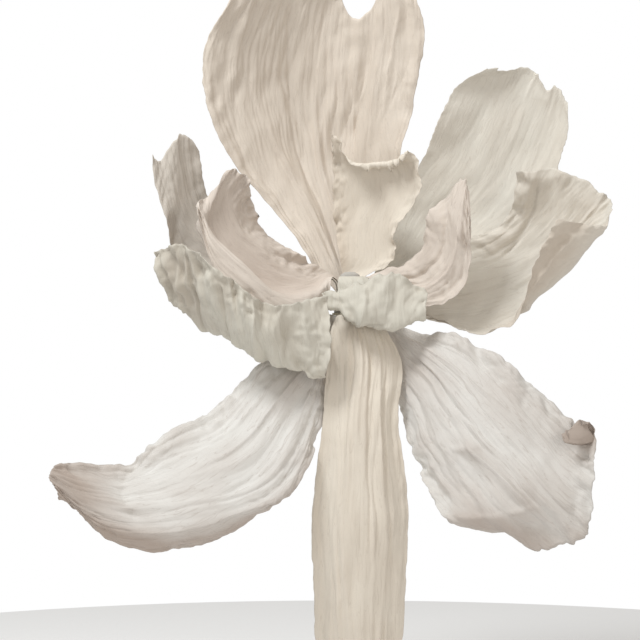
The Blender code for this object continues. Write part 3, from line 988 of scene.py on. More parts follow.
    def rolled(self, points, normals, along, across, size) -> np.ndarray:
        """Roll stretches of the edges forward.

        A point past the start of a roll by a length q moves to R sin(q / R) towards the edge
        and R (1 - cos(q / R)) towards the front.  A bell curve along the edge gives the length
        of the paper that is rolled, and noise makes it lumpy.

        Args:
            points: middle surface of the sheet.
            normals: its back normals.
            along: places along, as a grid.
            across: places across, as a grid.
            size: length and greatest width of the petal.

        Returns:
            The moved points.
        """
        noise = Noise(self.seed + 61)
        steps_s = np.linalg.norm(np.gradient(points, axis=0), axis=2)
        steps_t = np.linalg.norm(np.gradient(points, axis=1), axis=2)
        for roll in self.rolls:
            if roll.edge is Edge.TIP:
                share, extent, axis, sign = across, size[1], 0, 1
                way = np.cumsum(steps_s[::-1], axis=0)[::-1] - steps_s
            else:
                share, extent, axis = along, size[0], 1
                sign = 1 if roll.edge is Edge.LAST else -1
                run = np.cumsum(steps_t, axis=1) - steps_t
                way = run if roll.edge is Edge.FIRST else run[:, -1:] - run
            lumps = 1 + 0.5 * noise(share * extent / 0.035, 0.5 + 0 * share)
            bell = np.exp(-(((share - roll.centre) / roll.reach) ** 4))
            past = np.clip(roll.length * lumps * bell - way, 0, None)
            turn = past / roll.radius
            outward = sign * unit(np.gradient(points, axis=axis))
            shift = outward * (roll.radius * np.sin(turn) - past)[..., None]
            points = points + shift - normals * (roll.radius * (1 - np.cos(turn)))[..., None]
        return points

    def build(self) -> list[bpy.types.Object]:
        """Make the petal and its wires.

        Returns:
            The petal first, then its rib wire and its side wires.
        """
        dense = self.smooth_sheet()
        length = np.linalg.norm(np.diff(dense, axis=0), axis=2).sum(axis=0).mean()
        widths = np.linalg.norm(np.diff(dense, axis=1), axis=2).sum(axis=1)
        rows = int(length / CELL_ALONG)
        columns = max(40, int(widths.max() / CELL_ACROSS))
        along, across = np.meshgrid(
            np.linspace(0, 1, rows), np.linspace(0, 1, columns), indexing="ij"
        )
        bent = self.outline(along, across, (length, widths.max()))
        base = read_grid(dense, *bent)
        zero = np.zeros((1, columns))
        s = np.concatenate((zero, np.cumsum(np.linalg.norm(np.diff(base, axis=0), axis=2), axis=0)))
        zero = np.zeros((rows, 1))
        t = np.concatenate(
            (zero, np.cumsum(np.linalg.norm(np.diff(base, axis=1), axis=2), axis=1)), axis=1
        )
        row_width = np.broadcast_to(t[:, -1:], t.shape)
        tip_way = s[-1:] - s
        edge = np.minimum(np.minimum(t, row_width - t), tip_way)
        t = t - row_width / 2
        normals = back_normals(base)
        lift = self.height(along, across, s, t, edge, row_width)
        lift = self.flat_under_wires(lift, across, row_width)
        raised = base + normals * lift[..., None]
        middle = self.rolled(raised, normals, along, across, (length, widths.max()))
        facing = back_normals(middle)
        thickness = SHEET / 2
        points = np.concatenate(
            ((middle - facing * thickness).reshape(-1, 3), (middle + facing * thickness).reshape(-1, 3))
        )
        front = grid_quads(rows, columns)
        quads = np.concatenate((front, front[:, ::-1] + rows * columns, rim_quads(rows, columns)))
        flat = np.stack((t, s), axis=2).reshape(-1, 2)
        # Painted shade for each corner: it follows the crease relief, rising where the paper is lifted
        # towards the front, and each painted patch adds shade where its amount is above 0 and light where
        # it is below.
        shade_tone = 0.15 + 14.0 * np.clip(-lift, -0.008, 0.012)
        for shading_patch in self.painted_shading:
            u = (along - shading_patch.centre[0]) / shading_patch.reach[0]
            v = (across - shading_patch.centre[1]) / shading_patch.reach[1]
            shade_tone += shading_patch.amount * np.exp(-(u * u + v * v))
        piece = mesh_object(
            "sheet_" + self.name,
            points,
            quads,
            np.concatenate((flat, flat))[quads.ravel()],
            np.tile(np.clip(shade_tone, 0, 1).ravel(), 2),
        )
        piece.data.materials.append(bpy.data.materials[self.finish])
        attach(piece, BODY)
        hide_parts("petal_" + self.name)
        LOG.info("petal %s: %d x %d, %.2f m long", self.name, rows, columns, length)
        return [piece, *self.wires(middle, length)]

    def flat_under_wires(self, lift, across, row_width) -> np.ndarray:
        """Even out the paper where a wire is glued to it.

        Within about 8 mm of a wire's line, the height turns into that of the line itself,
        smoothed along it.
        """
        if not self.wired:
            return lift
        for share in (0.5, *self.side_wires):
            column = round(share * (lift.shape[1] - 1))
            line = blurred(lift[:, column], 5.0, 0)[:, None]
            near = np.exp(-(((across - share) * row_width / 0.008) ** 2))
            lift = lift * (1 - near) + line * near
        return lift

    def wires(self, middle: np.ndarray, length: float) -> list[bpy.types.Object]:
        """Make the rib wire with its foot on the core, and the side wires.

        A wire follows one line of the finished sheet, lifted off its back.
        """
        if not self.wired:
            return []
        lift = SHEET / 2 + WIRE_RADIUS + 0.0003
        smooth = blurred(middle, 1.5, 1)
        lifted = middle + back_normals(smooth) * lift
        made = []
        core_radius, base = self.tier.value
        angle = math.radians(self.facing)
        out = np.array((math.sin(angle), -math.cos(angle), 0.0))
        foot_radius = core_radius + 0.0003 + WIRE_RADIUS
        low, bend = (out * foot_radius + (0, 0, base - drop) for drop in (0.026, 0.007))
        rows = len(middle)
        rib = blurred(lifted[: int(0.93 * rows), middle.shape[1] // 2], 2.0, 0)
        path = np.concatenate((np.linspace(low, bend, 5), rib[1:]))
        made.append(self.wire("rib_wire_" + self.name, path))
        for number, share in enumerate(self.side_wires, start=1):
            column = round(share * (middle.shape[1] - 1))
            line = lifted[int(0.26 * rows) : int(0.86 * rows), column]
            name = "side_wire_%s_%d" % (self.name, number)
            made.append(self.wire(name, blurred(line, 2.0, 0)))
        return made

    def wire(self, name: str, path: np.ndarray) -> bpy.types.Object:
        """Make one covered wire and hide the CAD node that it stands for."""
        piece = tube_object("covered_" + name, path, WIRE_RADIUS, 10)
        piece.data.materials.append(bpy.data.materials["covered_wire"])
        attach(piece, BODY)
        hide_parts(name)
        return piece


# Every petal, with its rows of points from the foot to the tip.
PETALS = (
    Petal(
        name="top",
        tier=Tier.WHORL,
        facing=180,
        spread=30,
        finish="paper_warm",
        seed=11,
        side_wires=(0.25, 0.75),
        notches=(Notch(0.685, 0.13, 0.115),),
        folds=(
            Fold((0.13, 0.46), (0.72, 0.22), 0.010, -0.010, 0.6, 0.010),
            Fold((0.15, 0.52), (0.66, 0.38), 0.009, 0.009, -0.5),
            Fold((0.14, 0.58), (0.80, 0.52), 0.010, -0.009, 0.5),
            Fold((0.88, 0.76), (0.55, 0.69), 0.009, 0.010, 0.5),
            Fold((0.12, 0.38), (0.50, 0.24), 0.008, -0.008, 0.4),
            Fold((0.95, 0.33), (0.60, 0.40), 0.010, 0.008, -0.4),
            Fold((0.60, 0.86), (0.92, 0.90), 0.008, -0.008, 0.3),
        ),
        wrinkles=Wrinkles(
            pleats=(0.011, 0.0085, 0.0022),
            pleat_counts=(5.0, 12.0, 40.0),
            swell=0.006,
            edge_swell=0.008,
            crumple=0.0025,
            ragged=0.004,
        ),
        rows=(
            ((-0.100, 0.070, 0.125), (-0.020, 0.100, 0.120), (0.050, 0.085, 0.120)),
            ((-0.200, 0.110, 0.265), (-0.050, 0.160, 0.250), (0.100, 0.135, 0.260)),
            ((-0.330, 0.100, 0.410), (-0.085, 0.220, 0.425), (0.150, 0.150, 0.445)),
            ((-0.405, 0.080, 0.580), (-0.100, 0.210, 0.605), (0.190, 0.130, 0.625)),
            ((-0.400, 0.060, 0.740), (-0.090, 0.175, 0.785), (0.213, 0.100, 0.785)),
            ((-0.330, 0.045, 0.875), (-0.060, 0.115, 0.935), (0.172, 0.075, 0.915)),
        ),
    ),
    Petal(
        name="top_inner",
        tier=Tier.THROAT,
        facing=165,
        spread=35,
        finish="paper_cream",
        seed=12,
        rolls=(Roll(Edge.TIP, 0.65, 0.38, 0.028, 0.008),),
        # Painted shade along the first edge, where it meets the top petal, and painted light on the
        # rolled tip.
        painted_shading=(PaintedShading((0.4, 0.0), (0.9, 0.2), 0.7), PaintedShading((0.9, 0.5), (0.12, 0.6), -0.3)),
        wrinkles=Wrinkles(
            pleats=(0.003, 0.0015, 0.0006),
            edge_swell=0.003,
            crumple=0.012,
            crumple_size=0.035,
            crumple_middle=0.03,
            crumple_reach=0.05,
            ragged=0.008,
        ),
        rows=(
            ((-0.030, 0.060, 0.150), (0.015, 0.060, 0.145), (0.060, 0.050, 0.140),
             (0.100, 0.030, 0.140), (0.122, 0.005, 0.135)),
            ((-0.040, 0.085, 0.220), (0.015, 0.075, 0.220), (0.065, 0.060, 0.220),
             (0.105, 0.035, 0.220), (0.128, 0.000, 0.215)),
            ((-0.050, 0.090, 0.310), (0.015, 0.075, 0.310), (0.080, 0.050, 0.320),
             (0.150, 0.015, 0.330), (0.205, -0.045, 0.335)),
            ((-0.050, 0.070, 0.430), (0.010, 0.045, 0.400), (0.070, 0.020, 0.400),
             (0.125, 0.000, 0.410), (0.175, -0.045, 0.425)),
            ((-0.055, 0.020, 0.525), (-0.010, -0.005, 0.425), (0.050, -0.035, 0.405),
             (0.100, -0.050, 0.420), (0.150, -0.075, 0.440)),
        ),
    ),
    Petal(
        name="right_back",
        tier=Tier.WHORL,
        facing=125,
        spread=23,
        finish="paper_pale",
        seed=13,
        side_wires=(0.25, 0.75),
        notches=(Notch(0.22, 0.12, 0.02), Notch(0.64, 0.09, 0.03)),
        wrinkles=Wrinkles(
            pleats=(0.003, 0.0014, 0.0004),
            swell=0.006,
            edge_swell=0.009,
            crumple=0.003,
            crumple_reach=0.05,
            ragged=0.008,
        ),
        rows=(
            ((0.085, 0.105, 0.135), (0.125, 0.120, 0.125), (0.155, 0.110, 0.110),
             (0.175, 0.090, 0.090), (0.190, 0.065, 0.065)),
            ((0.145, 0.170, 0.275), (0.210, 0.195, 0.265), (0.280, 0.210, 0.245),
             (0.330, 0.190, 0.205), (0.370, 0.150, 0.170)),
            ((0.210, 0.190, 0.445), (0.295, 0.210, 0.420), (0.380, 0.220, 0.375),
             (0.460, 0.205, 0.325), (0.525, 0.175, 0.265)),
            ((0.270, 0.175, 0.580), (0.370, 0.205, 0.550), (0.455, 0.210, 0.510),
             (0.535, 0.205, 0.465), (0.600, 0.175, 0.415)),
            ((0.350, 0.150, 0.665), (0.425, 0.175, 0.670), (0.505, 0.180, 0.645),
             (0.580, 0.175, 0.595), (0.620, 0.160, 0.525)),
            ((0.405, 0.140, 0.685), (0.455, 0.150, 0.685), (0.525, 0.160, 0.680),
             (0.585, 0.160, 0.645), (0.620, 0.150, 0.600)),
        ),
    ),
    Petal(
        name="right_front",
        tier=Tier.WHORL,
        facing=75,
        spread=23,
        finish="paper_pale",
        seed=14,
        side_wires=(0.25,),
        # Painted shade on the flap folded forward along the last edge, and a little near the tip.
        painted_shading=(PaintedShading((0.8, 1.0), (0.6, 0.20), 0.9), PaintedShading((0.9, 0.3), (0.2, 0.3), 0.25)),
        folds=(
            Fold((0.95, 0.10), (0.60, 0.30), 0.012, 0.012, 0.5),
            Fold((0.98, 0.45), (0.55, 0.50), 0.012, -0.012, -0.4),
            Fold((0.95, 0.90), (0.60, 0.93), 0.010, 0.010, 0.4),
        ),
        wrinkles=Wrinkles(
            pleats=(0.006, 0.003, 0.001),
            swell=0.008,
            swell_size=0.12,
            edge_swell=0.012,
            crumple=0.013,
            crumple_size=0.06,
            crumple_middle=0.08,
            ragged=0.006,
        ),
        rows=(
            ((0.140, 0.035, 0.130), (0.155, 0.010, 0.090), (0.170, -0.010, 0.050),
             (0.200, -0.030, 0.005), (0.225, -0.045, -0.035), (0.255, -0.060, -0.045)),
            ((0.250, 0.040, 0.190), (0.280, 0.015, 0.130), (0.310, 0.000, 0.070),
             (0.350, -0.030, 0.000), (0.390, -0.070, -0.045), (0.410, -0.115, -0.040)),
            ((0.370, 0.030, 0.210), (0.400, 0.015, 0.170), (0.450, 0.000, 0.120),
             (0.495, -0.045, 0.060), (0.495, -0.100, 0.020), (0.465, -0.150, 0.050)),
            ((0.440, 0.000, 0.270), (0.510, -0.015, 0.270), (0.575, -0.030, 0.220),
             (0.615, -0.060, 0.170), (0.595, -0.125, 0.120), (0.505, -0.175, 0.165)),
            ((0.455, -0.045, 0.390), (0.590, -0.075, 0.380), (0.675, -0.100, 0.325),
             (0.710, -0.130, 0.280), (0.685, -0.160, 0.230), (0.545, -0.190, 0.245)),
        ),
    ),
    Petal(
        name="right_inner",
        tier=Tier.THROAT,
        facing=65,
        spread=22,
        finish="paper_rose",
        seed=15,
        folds=(
            Fold((0.20, 0.25), (0.85, 0.20), 0.009, 0.010, 0.5),
            Fold((0.25, 0.70), (0.80, 0.60), 0.009, -0.010, 0.4),
        ),
        wrinkles=Wrinkles(
            pleats=(0.004, 0.003, 0.001),
            pleat_counts=(3.0, 7.0, 18.0),
            edge_swell=0.01,
            crumple=0.012,
            crumple_size=0.045,
            crumple_middle=0.4,
            ragged=0.007,
        ),
        rows=(
            ((0.100, 0.000, 0.110), (0.120, -0.035, 0.070), (0.110, -0.055, 0.040)),
            ((0.150, -0.010, 0.130), (0.210, -0.070, 0.070), (0.220, -0.100, 0.010)),
            ((0.205, -0.025, 0.190), (0.270, -0.100, 0.145), (0.305, -0.120, 0.060)),
            ((0.215, -0.055, 0.265), (0.285, -0.125, 0.245), (0.325, -0.135, 0.180)),
            ((0.290, -0.100, 0.345), (0.305, -0.130, 0.360), (0.320, -0.140, 0.320)),
        ),
    ),
    Petal(
        name="lip",
        tier=Tier.THROAT,
        facing=2,
        spread=34,
        finish="paper_green_shaded",
        seed=16,
        wired=False,
        folds=(
            Fold((0.45, 0.95), (0.75, 0.30), 0.012, -0.014, 0.5, 0.008),
            Fold((0.40, 0.85), (0.90, 0.55), 0.010, 0.012, -0.4),
            Fold((0.35, 0.60), (0.60, 0.10), 0.012, 0.012, 0.5),
        ),
        wrinkles=Wrinkles(
            pleats=(0.006, 0.003, 0.001),
            pleat_counts=(3.0, 8.0, 24.0),
            edge_swell=0.009,
            crumple=0.014,
            crumple_size=0.05,
            crumple_middle=0.6,
            ragged=0.009,
        ),
        rows=(
            ((0.095, -0.090, 0.045), (0.058, -0.105, 0.040), (0.025, -0.108, 0.040),
             (-0.008, -0.103, 0.042), (-0.040, -0.090, 0.050)),
            ((0.150, -0.135, -0.030), (0.100, -0.145, -0.050), (0.050, -0.150, -0.045),
             (0.005, -0.145, -0.030), (-0.045, -0.125, 0.000)),
            ((0.195, -0.165, -0.025), (0.120, -0.185, -0.050), (0.050, -0.190, -0.040),
             (-0.005, -0.180, -0.025), (-0.065, -0.155, 0.005)),
            ((0.210, -0.170, 0.025), (0.125, -0.185, 0.030), (0.055, -0.195, 0.030),
             (-0.010, -0.185, 0.025), (-0.075, -0.160, 0.025)),
            ((0.200, -0.160, 0.060), (0.130, -0.175, 0.100), (0.060, -0.175, 0.100),
             (-0.010, -0.170, 0.070), (-0.080, -0.155, 0.050)),
        ),
    ),
    Petal(
        name="left_back",
        tier=Tier.WHORL,
        facing=-115,
        spread=23,
        finish="paper_shaded",
        seed=17,
        # Painted light along the turned-back first edge.
        painted_shading=(PaintedShading((0.8, 0.0), (0.5, 0.14), -0.7),),
        wrinkles=Wrinkles(
            pleats=(0.004, 0.002, 0.0008),
            edge_swell=0.006,
            crumple=0.005,
            ragged=0.005,
        ),
        rows=(
            ((-0.170, -0.010, 0.055), (-0.160, 0.010, 0.060), (-0.150, 0.030, 0.070),
             (-0.140, 0.055, 0.085), (-0.120, 0.070, 0.105)),
            ((-0.340, -0.035, 0.090), (-0.315, 0.005, 0.110), (-0.290, 0.040, 0.135),
             (-0.265, 0.065, 0.155), (-0.235, 0.085, 0.175)),
            ((-0.475, -0.050, 0.150), (-0.440, -0.015, 0.185), (-0.405, 0.020, 0.215),
             (-0.370, 0.060, 0.235), (-0.335, 0.085, 0.245)),
            ((-0.515, -0.060, 0.270), (-0.490, -0.030, 0.305), (-0.460, 0.005, 0.330),
             (-0.435, 0.045, 0.340), (-0.405, 0.075, 0.340)),
            ((-0.540, -0.060, 0.430), (-0.515, -0.035, 0.415), (-0.480, 0.000, 0.480),
             (-0.450, 0.030, 0.485), (-0.415, 0.060, 0.440)),
        ),
    ),
    Petal(
        name="left_mid",
        tier=Tier.THROAT,
        facing=-95,
        spread=30,
        finish="paper_rose",
        seed=18,
        # Painted shade over the middle of the inner face, and painted light along the first edge.
        painted_shading=(PaintedShading((0.5, 0.6), (0.6, 0.3), 0.5), PaintedShading((0.6, 0.1), (0.6, 0.14), -0.5)),
        wrinkles=Wrinkles(
            pleats=(0.004, 0.003, 0.001),
            edge_swell=0.008,
            crumple=0.018,
            crumple_size=0.045,
            crumple_middle=0.04,
            crumple_reach=0.07,
            ragged=0.007,
        ),
        rows=(
            ((-0.062, -0.088, 0.015), (-0.088, -0.080, 0.050), (-0.105, -0.045, 0.060),
             (-0.105, -0.010, 0.085), (-0.085, 0.020, 0.120)),
            ((-0.150, -0.155, -0.040), (-0.178, -0.150, 0.035), (-0.210, -0.085, 0.055),
             (-0.190, -0.035, 0.120), (-0.150, 0.005, 0.160)),
            ((-0.250, -0.205, -0.015), (-0.283, -0.190, 0.120), (-0.310, -0.120, 0.125),
             (-0.285, -0.065, 0.185), (-0.235, -0.015, 0.215)),
            ((-0.345, -0.205, 0.065), (-0.372, -0.190, 0.200), (-0.385, -0.135, 0.220),
             (-0.340, -0.085, 0.290), (-0.265, -0.045, 0.290)),
            ((-0.415, -0.185, 0.235), (-0.408, -0.165, 0.295), (-0.365, -0.125, 0.315),
             (-0.325, -0.100, 0.390), (-0.270, -0.075, 0.355)),
        ),
    ),
    Petal(
        name="left_front",
        tier=Tier.WHORL,
        facing=-60,
        spread=26,
        finish="paper_green_shaded",
        seed=19,
        wired=False,
        # Painted shade near the tip, most towards the last edge, and painted light in a band along the
        # middle.
        painted_shading=(PaintedShading((0.85, 0.9), (0.3, 0.12), 0.6), PaintedShading((0.95, 0.5), (0.12, 0.4), 0.35), PaintedShading((0.5, 0.4), (0.3, 0.12), -0.4)),
        folds=(
            Fold((0.98, 0.76), (0.55, 0.87), 0.009, -0.014, 0.5),
            Fold((0.95, 0.55), (0.50, 0.62), 0.011, -0.014, -0.4),
            Fold((0.98, 0.35), (0.40, 0.42), 0.011, 0.014, 0.5),
            Fold((0.90, 0.18), (0.30, 0.25), 0.011, -0.014, 0.4),
        ),
        wrinkles=Wrinkles(
            pleats=(0.014, 0.008, 0.0018),
            pleat_counts=(6.0, 14.0, 36.0),
            swell=0.008,
            swell_size=0.12,
            edge_swell=0.01,
            crumple=0.017,
            crumple_size=0.05,
            crumple_middle=0.35,
            ragged=0.006,
        ),
        rows=(
            ((-0.055, -0.080, 0.020), (-0.070, -0.065, 0.025), (-0.085, -0.045, 0.030),
             (-0.095, -0.025, 0.030), (-0.105, -0.005, 0.025)),
            ((-0.058, -0.132, -0.080), (-0.120, -0.117, -0.060), (-0.180, -0.100, -0.040),
             (-0.225, -0.070, -0.015), (-0.265, -0.040, 0.005)),
            ((-0.068, -0.192, -0.190), (-0.170, -0.192, -0.160), (-0.280, -0.175, -0.115),
             (-0.355, -0.145, -0.070), (-0.440, -0.085, -0.025)),
            ((-0.052, -0.210, -0.080), (-0.190, -0.242, -0.085), (-0.310, -0.245, -0.025),
             (-0.410, -0.205, 0.035), (-0.510, -0.130, 0.060)),
            ((-0.058, -0.200, 0.045), (-0.215, -0.245, 0.020), (-0.330, -0.270, 0.095),
             (-0.445, -0.220, 0.180), (-0.535, -0.145, 0.160)),
        ),
    ),
    Petal(
        name="lower_left",
        tier=Tier.FALL,
        facing=-56,
        spread=23,
        finish="paper_white",
        seed=20,
        side_wires=(0.75,),
        # Painted shade on the upturned tip, along the turned-up first edge and near the foot.
        painted_shading=(
            PaintedShading((0.97, 0.5), (0.13, 0.9), 1.0),
            PaintedShading((0.75, 0.05), (0.26, 0.18), 0.8),
            PaintedShading((0.1, 0.5), (0.2, 0.9), 0.25),
        ),
        folds=(
            Fold((0.48, 0.14), (0.86, 0.30), 0.010, -0.010, 0.5),
            Fold((0.75, 0.98), (0.80, 0.35), 0.012, 0.014),
            Fold((0.15, 0.30), (0.60, 0.45), 0.010, 0.010, 0.5),
            Fold((0.15, 0.60), (0.62, 0.66), 0.010, -0.010, 0.4),
        ),
        wrinkles=Wrinkles(
            pleats=(0.009, 0.006, 0.0016),
            edge_swell=0.008,
            crumple=0.012,
            crumple_middle=0.1,
            ragged=0.005,
        ),
        rows=(
            ((-0.040, -0.068, -0.015), (-0.052, -0.060, -0.014), (-0.062, -0.050, -0.013),
             (-0.070, -0.035, -0.013)),
            ((-0.046, -0.078, -0.055), (-0.066, -0.076, -0.050), (-0.085, -0.067, -0.045),
             (-0.100, -0.050, -0.040)),
            ((-0.050, -0.082, -0.150), (-0.075, -0.095, -0.140), (-0.110, -0.090, -0.120),
             (-0.135, -0.060, -0.095)),
            ((-0.083, -0.140, -0.320), (-0.115, -0.170, -0.305), (-0.190, -0.160, -0.240),
             (-0.250, -0.105, -0.150)),
            ((-0.160, -0.255, -0.475), (-0.195, -0.290, -0.465), (-0.310, -0.255, -0.365),
             (-0.385, -0.190, -0.270)),
            ((-0.350, -0.330, -0.605), (-0.365, -0.375, -0.530), (-0.455, -0.320, -0.435),
             (-0.520, -0.260, -0.340)),
            ((-0.550, -0.370, -0.620), (-0.570, -0.405, -0.550), (-0.600, -0.365, -0.470),
             (-0.590, -0.290, -0.410)),
            ((-0.668, -0.405, -0.555), (-0.693, -0.435, -0.510), (-0.713, -0.410, -0.447),
             (-0.713, -0.360, -0.392)),
            ((-0.735, -0.440, -0.490), (-0.757, -0.470, -0.450), (-0.772, -0.460, -0.415),
             (-0.762, -0.415, -0.397)),
        ),
    ),
    Petal(
        name="bottom",
        tier=Tier.FALL,
        facing=0,
        spread=24,
        finish="paper_cream",
        seed=21,
        folds=(
            Fold((0.10, 0.72), (0.55, 0.72), 0.010, 0.012, 0.5),
            Fold((0.10, 0.58), (0.40, 0.55), 0.008, -0.009, 0.3),
            Fold((0.10, 0.45), (0.70, 0.40), 0.010, 0.011, -0.5),
            Fold((0.10, 0.30), (0.50, 0.27), 0.008, -0.009, 0.3),
            Fold((0.10, 0.15), (0.75, 0.16), 0.009, 0.010, 0.4),
        ),
        wrinkles=Wrinkles(
            pleats=(0.013, 0.007, 0.0018),
            pleat_counts=(4.0, 9.0, 22.0),
            edge_swell=0.005,
            crumple=0.003,
            crumple_size=0.08,
        ),
        rows=(
            ((0.055, -0.072, -0.015), (0.005, -0.085, -0.012), (-0.035, -0.075, -0.015)),
            ((0.088, -0.092, -0.045), (0.025, -0.112, -0.040), (-0.050, -0.098, -0.045)),
            ((0.130, -0.110, -0.110), (0.040, -0.138, -0.110), (-0.060, -0.116, -0.110)),
            ((0.130, -0.160, -0.300), (0.030, -0.200, -0.295), (-0.075, -0.150, -0.300)),
            ((0.155, -0.175, -0.495), (0.030, -0.230, -0.495), (-0.100, -0.160, -0.495)),
            ((0.145, -0.175, -0.715), (0.025, -0.230, -0.710), (-0.100, -0.160, -0.715)),
            ((0.130, -0.160, -0.910), (0.020, -0.205, -0.910), (-0.090, -0.145, -0.915)),
            ((0.085, -0.145, -1.010), (0.020, -0.175, -1.050), (-0.055, -0.130, -1.015)),
        ),
    ),
    Petal(
        name="lower_right",
        tier=Tier.FALL,
        facing=51,
        spread=23,
        finish="paper_white",
        seed=22,
        side_wires=(0.25, 0.75),
        rolls=(Roll(Edge.FIRST, 0.97, 0.10, 0.055, 0.016),),
        # Painted shade in the rolled corner of the first edge, along the tip and near the foot.
        painted_shading=(
            PaintedShading((0.97, 0.0), (0.09, 0.14), 1.0),
            PaintedShading((0.95, 0.9), (0.12, 0.4), 0.5),
            PaintedShading((0.15, 0.5), (0.3, 0.9), 0.35),
        ),
        folds=(
            Fold((0.14, 0.55), (0.45, 0.58), 0.010, 0.012, 0.4),
            Fold((0.42, 0.60), (0.70, 0.52), 0.011, 0.012, -0.5),
            Fold((0.60, 0.78), (0.66, 0.60), 0.012, -0.014, 0.5),
            Fold((0.63, 0.66), (0.90, 0.60), 0.014, -0.018, 0.6),
            Fold((0.87, 0.98), (0.89, 0.58), 0.012, -0.012, 0.5),
            Fold((0.15, 0.30), (0.80, 0.26), 0.012, -0.010, 0.5),
        ),
        wrinkles=Wrinkles(
            pleats=(0.013, 0.0075, 0.0018),
            pleat_counts=(5.0, 12.0, 32.0),
            swell=0.008,
            edge_swell=0.01,
            crumple=0.014,
            crumple_middle=0.1,
            ragged=0.006,
        ),
        rows=(
            ((0.085, -0.035, -0.014), (0.080, -0.045, -0.014), (0.072, -0.055, -0.014),
             (0.064, -0.062, -0.015), (0.056, -0.066, -0.016)),
            ((0.170, -0.075, -0.050), (0.150, -0.090, -0.065), (0.135, -0.090, -0.085),
             (0.120, -0.085, -0.110), (0.105, -0.075, -0.130)),
            ((0.290, -0.155, -0.070), (0.265, -0.185, -0.115), (0.230, -0.185, -0.160),
             (0.180, -0.145, -0.205), (0.125, -0.095, -0.250)),
            ((0.405, -0.220, -0.140), (0.375, -0.260, -0.205), (0.325, -0.285, -0.275),
             (0.245, -0.245, -0.340), (0.165, -0.165, -0.395)),
            ((0.515, -0.275, -0.230), (0.480, -0.320, -0.315), (0.420, -0.350, -0.395),
             (0.330, -0.320, -0.450), (0.215, -0.240, -0.500)),
            ((0.598, -0.325, -0.305), (0.575, -0.370, -0.400), (0.510, -0.400, -0.490),
             (0.400, -0.380, -0.530), (0.240, -0.310, -0.545)),
            ((0.640, -0.370, -0.270), (0.618, -0.420, -0.430), (0.605, -0.400, -0.585),
             (0.480, -0.350, -0.615), (0.305, -0.320, -0.550)),
        ),
    ),
)


# --------------------------------------------------------------------------- stem and core


@dataclass
class Stem:
    """Core, stem and tape: CAD pieces that keep their shape and get better finishes."""

    finishes: dict[str, str] = field(
        default_factory=lambda: {
            "core": "papier_mache",
            "stem_rod": "beech",
            "neck_tape": "paper_tape",
            "tape_band_fall": "paper_tape",
            "tape_band_whorl": "paper_tape",
            "tape_band_throat": "paper_tape",
        }
    )

    def dress(self) -> None:
        """Put each node's finish in its material slot."""
        for name, finish in self.finishes.items():
            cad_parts[name].material_slots[0].material = bpy.data.materials[finish]


# --------------------------------------------------------------------------- the stage


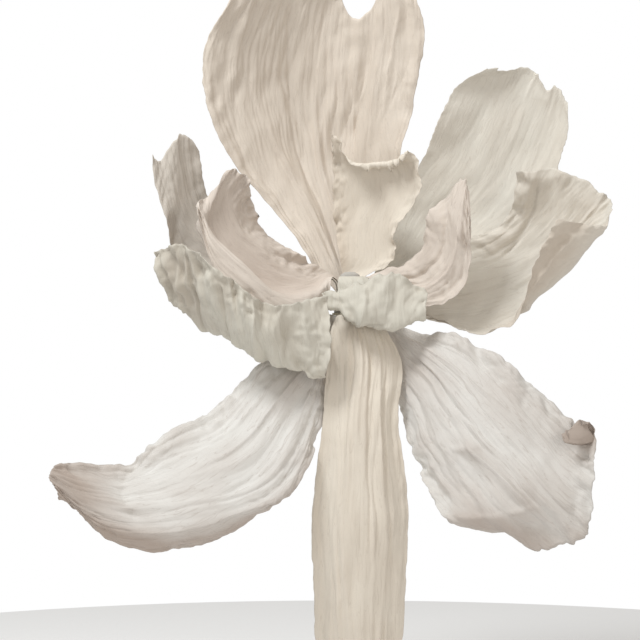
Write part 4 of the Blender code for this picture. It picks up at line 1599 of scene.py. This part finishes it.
@dataclass(frozen=True)
class Studio:
    """Plain pale round floor, open on every side, soft light, and the camera.

    Attributes:
        floor: height of the floor, in the row frame.
        reach: radius of the floor.
        glow: strength of the even light.
        distance: distance from the camera to the stem.
        aim: height and sideways place that the camera looks at.
        seen: width of the view at the stem, in metres.
    """

    floor: float = -0.72
    reach: float = 2.5
    glow: float = 0.60
    distance: float = 6.0
    aim: tuple[float, float] = (-0.0825, 0.3725)
    seen: float = 1.76

    def ground(self) -> None:
        """Floor: a thin round slab under the flower, with no wall to hide its back."""
        turn = np.linspace(0, 2 * math.pi, 96, endpoint=False)
        ring = np.stack((self.reach * np.cos(turn), self.reach * np.sin(turn)), axis=1)
        levels = [np.insert(ring, 2, self.floor - drop, axis=1) for drop in (0.0, 0.02)]
        mesh = bpy.data.meshes.new("floor")
        count = len(turn)
        sides = [(i, i + count, (i + 1) % count + count, (i + 1) % count) for i in range(count)]
        caps = [tuple(range(count)), tuple(range(2 * count - 1, count - 1, -1))]
        mesh.from_pydata(np.concatenate(levels).tolist(), [], sides + caps)
        slab = bpy.data.objects.new("floor", mesh)
        bpy.context.scene.collection.objects.link(slab)
        material, shader = start_material("floor")
        shader.inputs["Base Color"].default_value = (0.93, 0.93, 0.93, 1.0)
        shader.inputs["Roughness"].default_value = 0.9
        shader.inputs["Specular IOR Level"].default_value = 0.0
        slab.data.materials.append(material)

    def surroundings(self) -> None:
        """Soft even light from everywhere, seen as plain white behind the flower."""
        world = bpy.data.worlds.new("surroundings")
        world.use_nodes = True
        tree = world.node_tree
        sky = tree.nodes["Background"]
        sky.inputs["Color"].default_value = (1.0, 0.98, 0.95, 1.0)
        sky.inputs["Strength"].default_value = self.glow
        seen = tree.nodes.new("ShaderNodeBackground")
        seen.inputs["Color"].default_value = (1.0, 1.0, 1.0, 1.0)
        path = tree.nodes.new("ShaderNodeLightPath")
        choice = tree.nodes.new("ShaderNodeMixShader")
        tree.links.new(path.outputs["Is Camera Ray"], choice.inputs["Fac"])
        tree.links.new(sky.outputs["Background"], choice.inputs[1])
        tree.links.new(seen.outputs["Background"], choice.inputs[2])
        tree.links.new(choice.outputs["Shader"], tree.nodes["World Output"].inputs["Surface"])
        bpy.context.scene.world = world

    def light(
        self,
        name: str,
        place: tuple[float, float, float],
        aim: tuple[float, float, float],
        size: float,
        power: float,
        colour: tuple[float, float, float],
    ) -> None:
        """Add a square soft light that points at its aim."""
        lamp = bpy.data.lights.new(name, "AREA")
        lamp.color = colour
        lamp.size = size
        lamp.energy = power
        thing = bpy.data.objects.new(name, lamp)
        thing.location = place
        way = Vector(aim) - Vector(place)
        thing.rotation_euler = way.to_track_quat("-Z", "Y").to_euler()
        bpy.context.scene.collection.objects.link(thing)

    def camera(self) -> None:
        """Place the camera in front, level with its aim."""
        view = bpy.data.cameras.new("camera")
        view.sensor_width = 36.0
        view.lens = view.sensor_width * self.distance / self.seen
        thing = bpy.data.objects.new("camera", view)
        thing.location = (self.aim[0], -self.distance, self.aim[1])
        thing.rotation_euler = (math.pi / 2, 0.0, 0.0)
        bpy.context.scene.collection.objects.link(thing)
        bpy.context.scene.camera = thing

    def build(self) -> None:
        """Make the stage, the lights, the camera and the pale surroundings."""
        self.ground()
        hub = tuple(HUB)
        self.light("key", (-1.5, -1.6, 3.4), hub, 1.1, 98.0, (0.95, 0.98, 1.0))
        self.light("fill", (1.8, -4.5, 0.9), hub, 2.0, 26.0, (1.0, 0.90, 0.80))
        self.surroundings()
        bpy.context.scene.view_settings.view_transform = "Standard"
        self.camera()


def make_finishes() -> None:
    """Make every material of the flower."""
    finishes = (
        PaperFinish("paper_warm", pale=(0.69, 0.62, 0.54), warm=(0.56, 0.48, 0.40)),
        PaperFinish("paper_cream", pale=(0.74, 0.68, 0.59), warm=(0.60, 0.52, 0.43)),
        PaperFinish("paper_pale", pale=(0.74, 0.71, 0.64), warm=(0.60, 0.53, 0.45)),
        PaperFinish("paper_rose", pale=(0.69, 0.62, 0.55), warm=(0.50, 0.42, 0.36)),
        # The grey-green paper and paper_shaded are darkened with painted shade: the first for the
        # undersides of the lip and the left front petal, the second for the left back petal.
        PaperFinish("paper_green_shaded", pale=(0.64, 0.615, 0.54), warm=(0.50, 0.45, 0.38)),
        PaperFinish("paper_shaded", pale=(0.60, 0.55, 0.49), warm=(0.48, 0.43, 0.37)),
        PaperFinish("paper_white", pale=(0.74, 0.73, 0.70), warm=(0.44, 0.37, 0.32)),
        WoundPaperFinish("covered_wire", (0.70, 0.68, 0.60), turns=170.0, slant=0.5, depth=0.0004),
        SolidFinish(
            "paper_tape", (0.66, 0.62, 0.52), (0.50, 0.46, 0.37), (60.0, 60.0, 260.0), 0.75, 0.0006
        ),
        SolidFinish(
            "papier_mache", (0.55, 0.53, 0.49), (0.36, 0.34, 0.31), (55.0, 55.0, 55.0), 0.9, 0.0022
        ),
        SolidFinish("beech", (0.52, 0.35, 0.20), (0.36, 0.22, 0.11), (160.0, 160.0, 5.0), 0.5, 0.0002),
    )
    for finish in finishes:
        finish.make()


def main() -> None:
    """Build the flower's finish and the stage."""
    make_finishes()
    total = 0
    for petal in PETALS:
        made = petal.build()
        total += sum(2 * len(piece.data.polygons) for piece in made)
    LOG.info("added triangles: %d", total)
    Stem().dress()
    Studio().build()


if __name__ == "__main__":
    logging.basicConfig(level=logging.INFO, format="%(message)s")
    main()
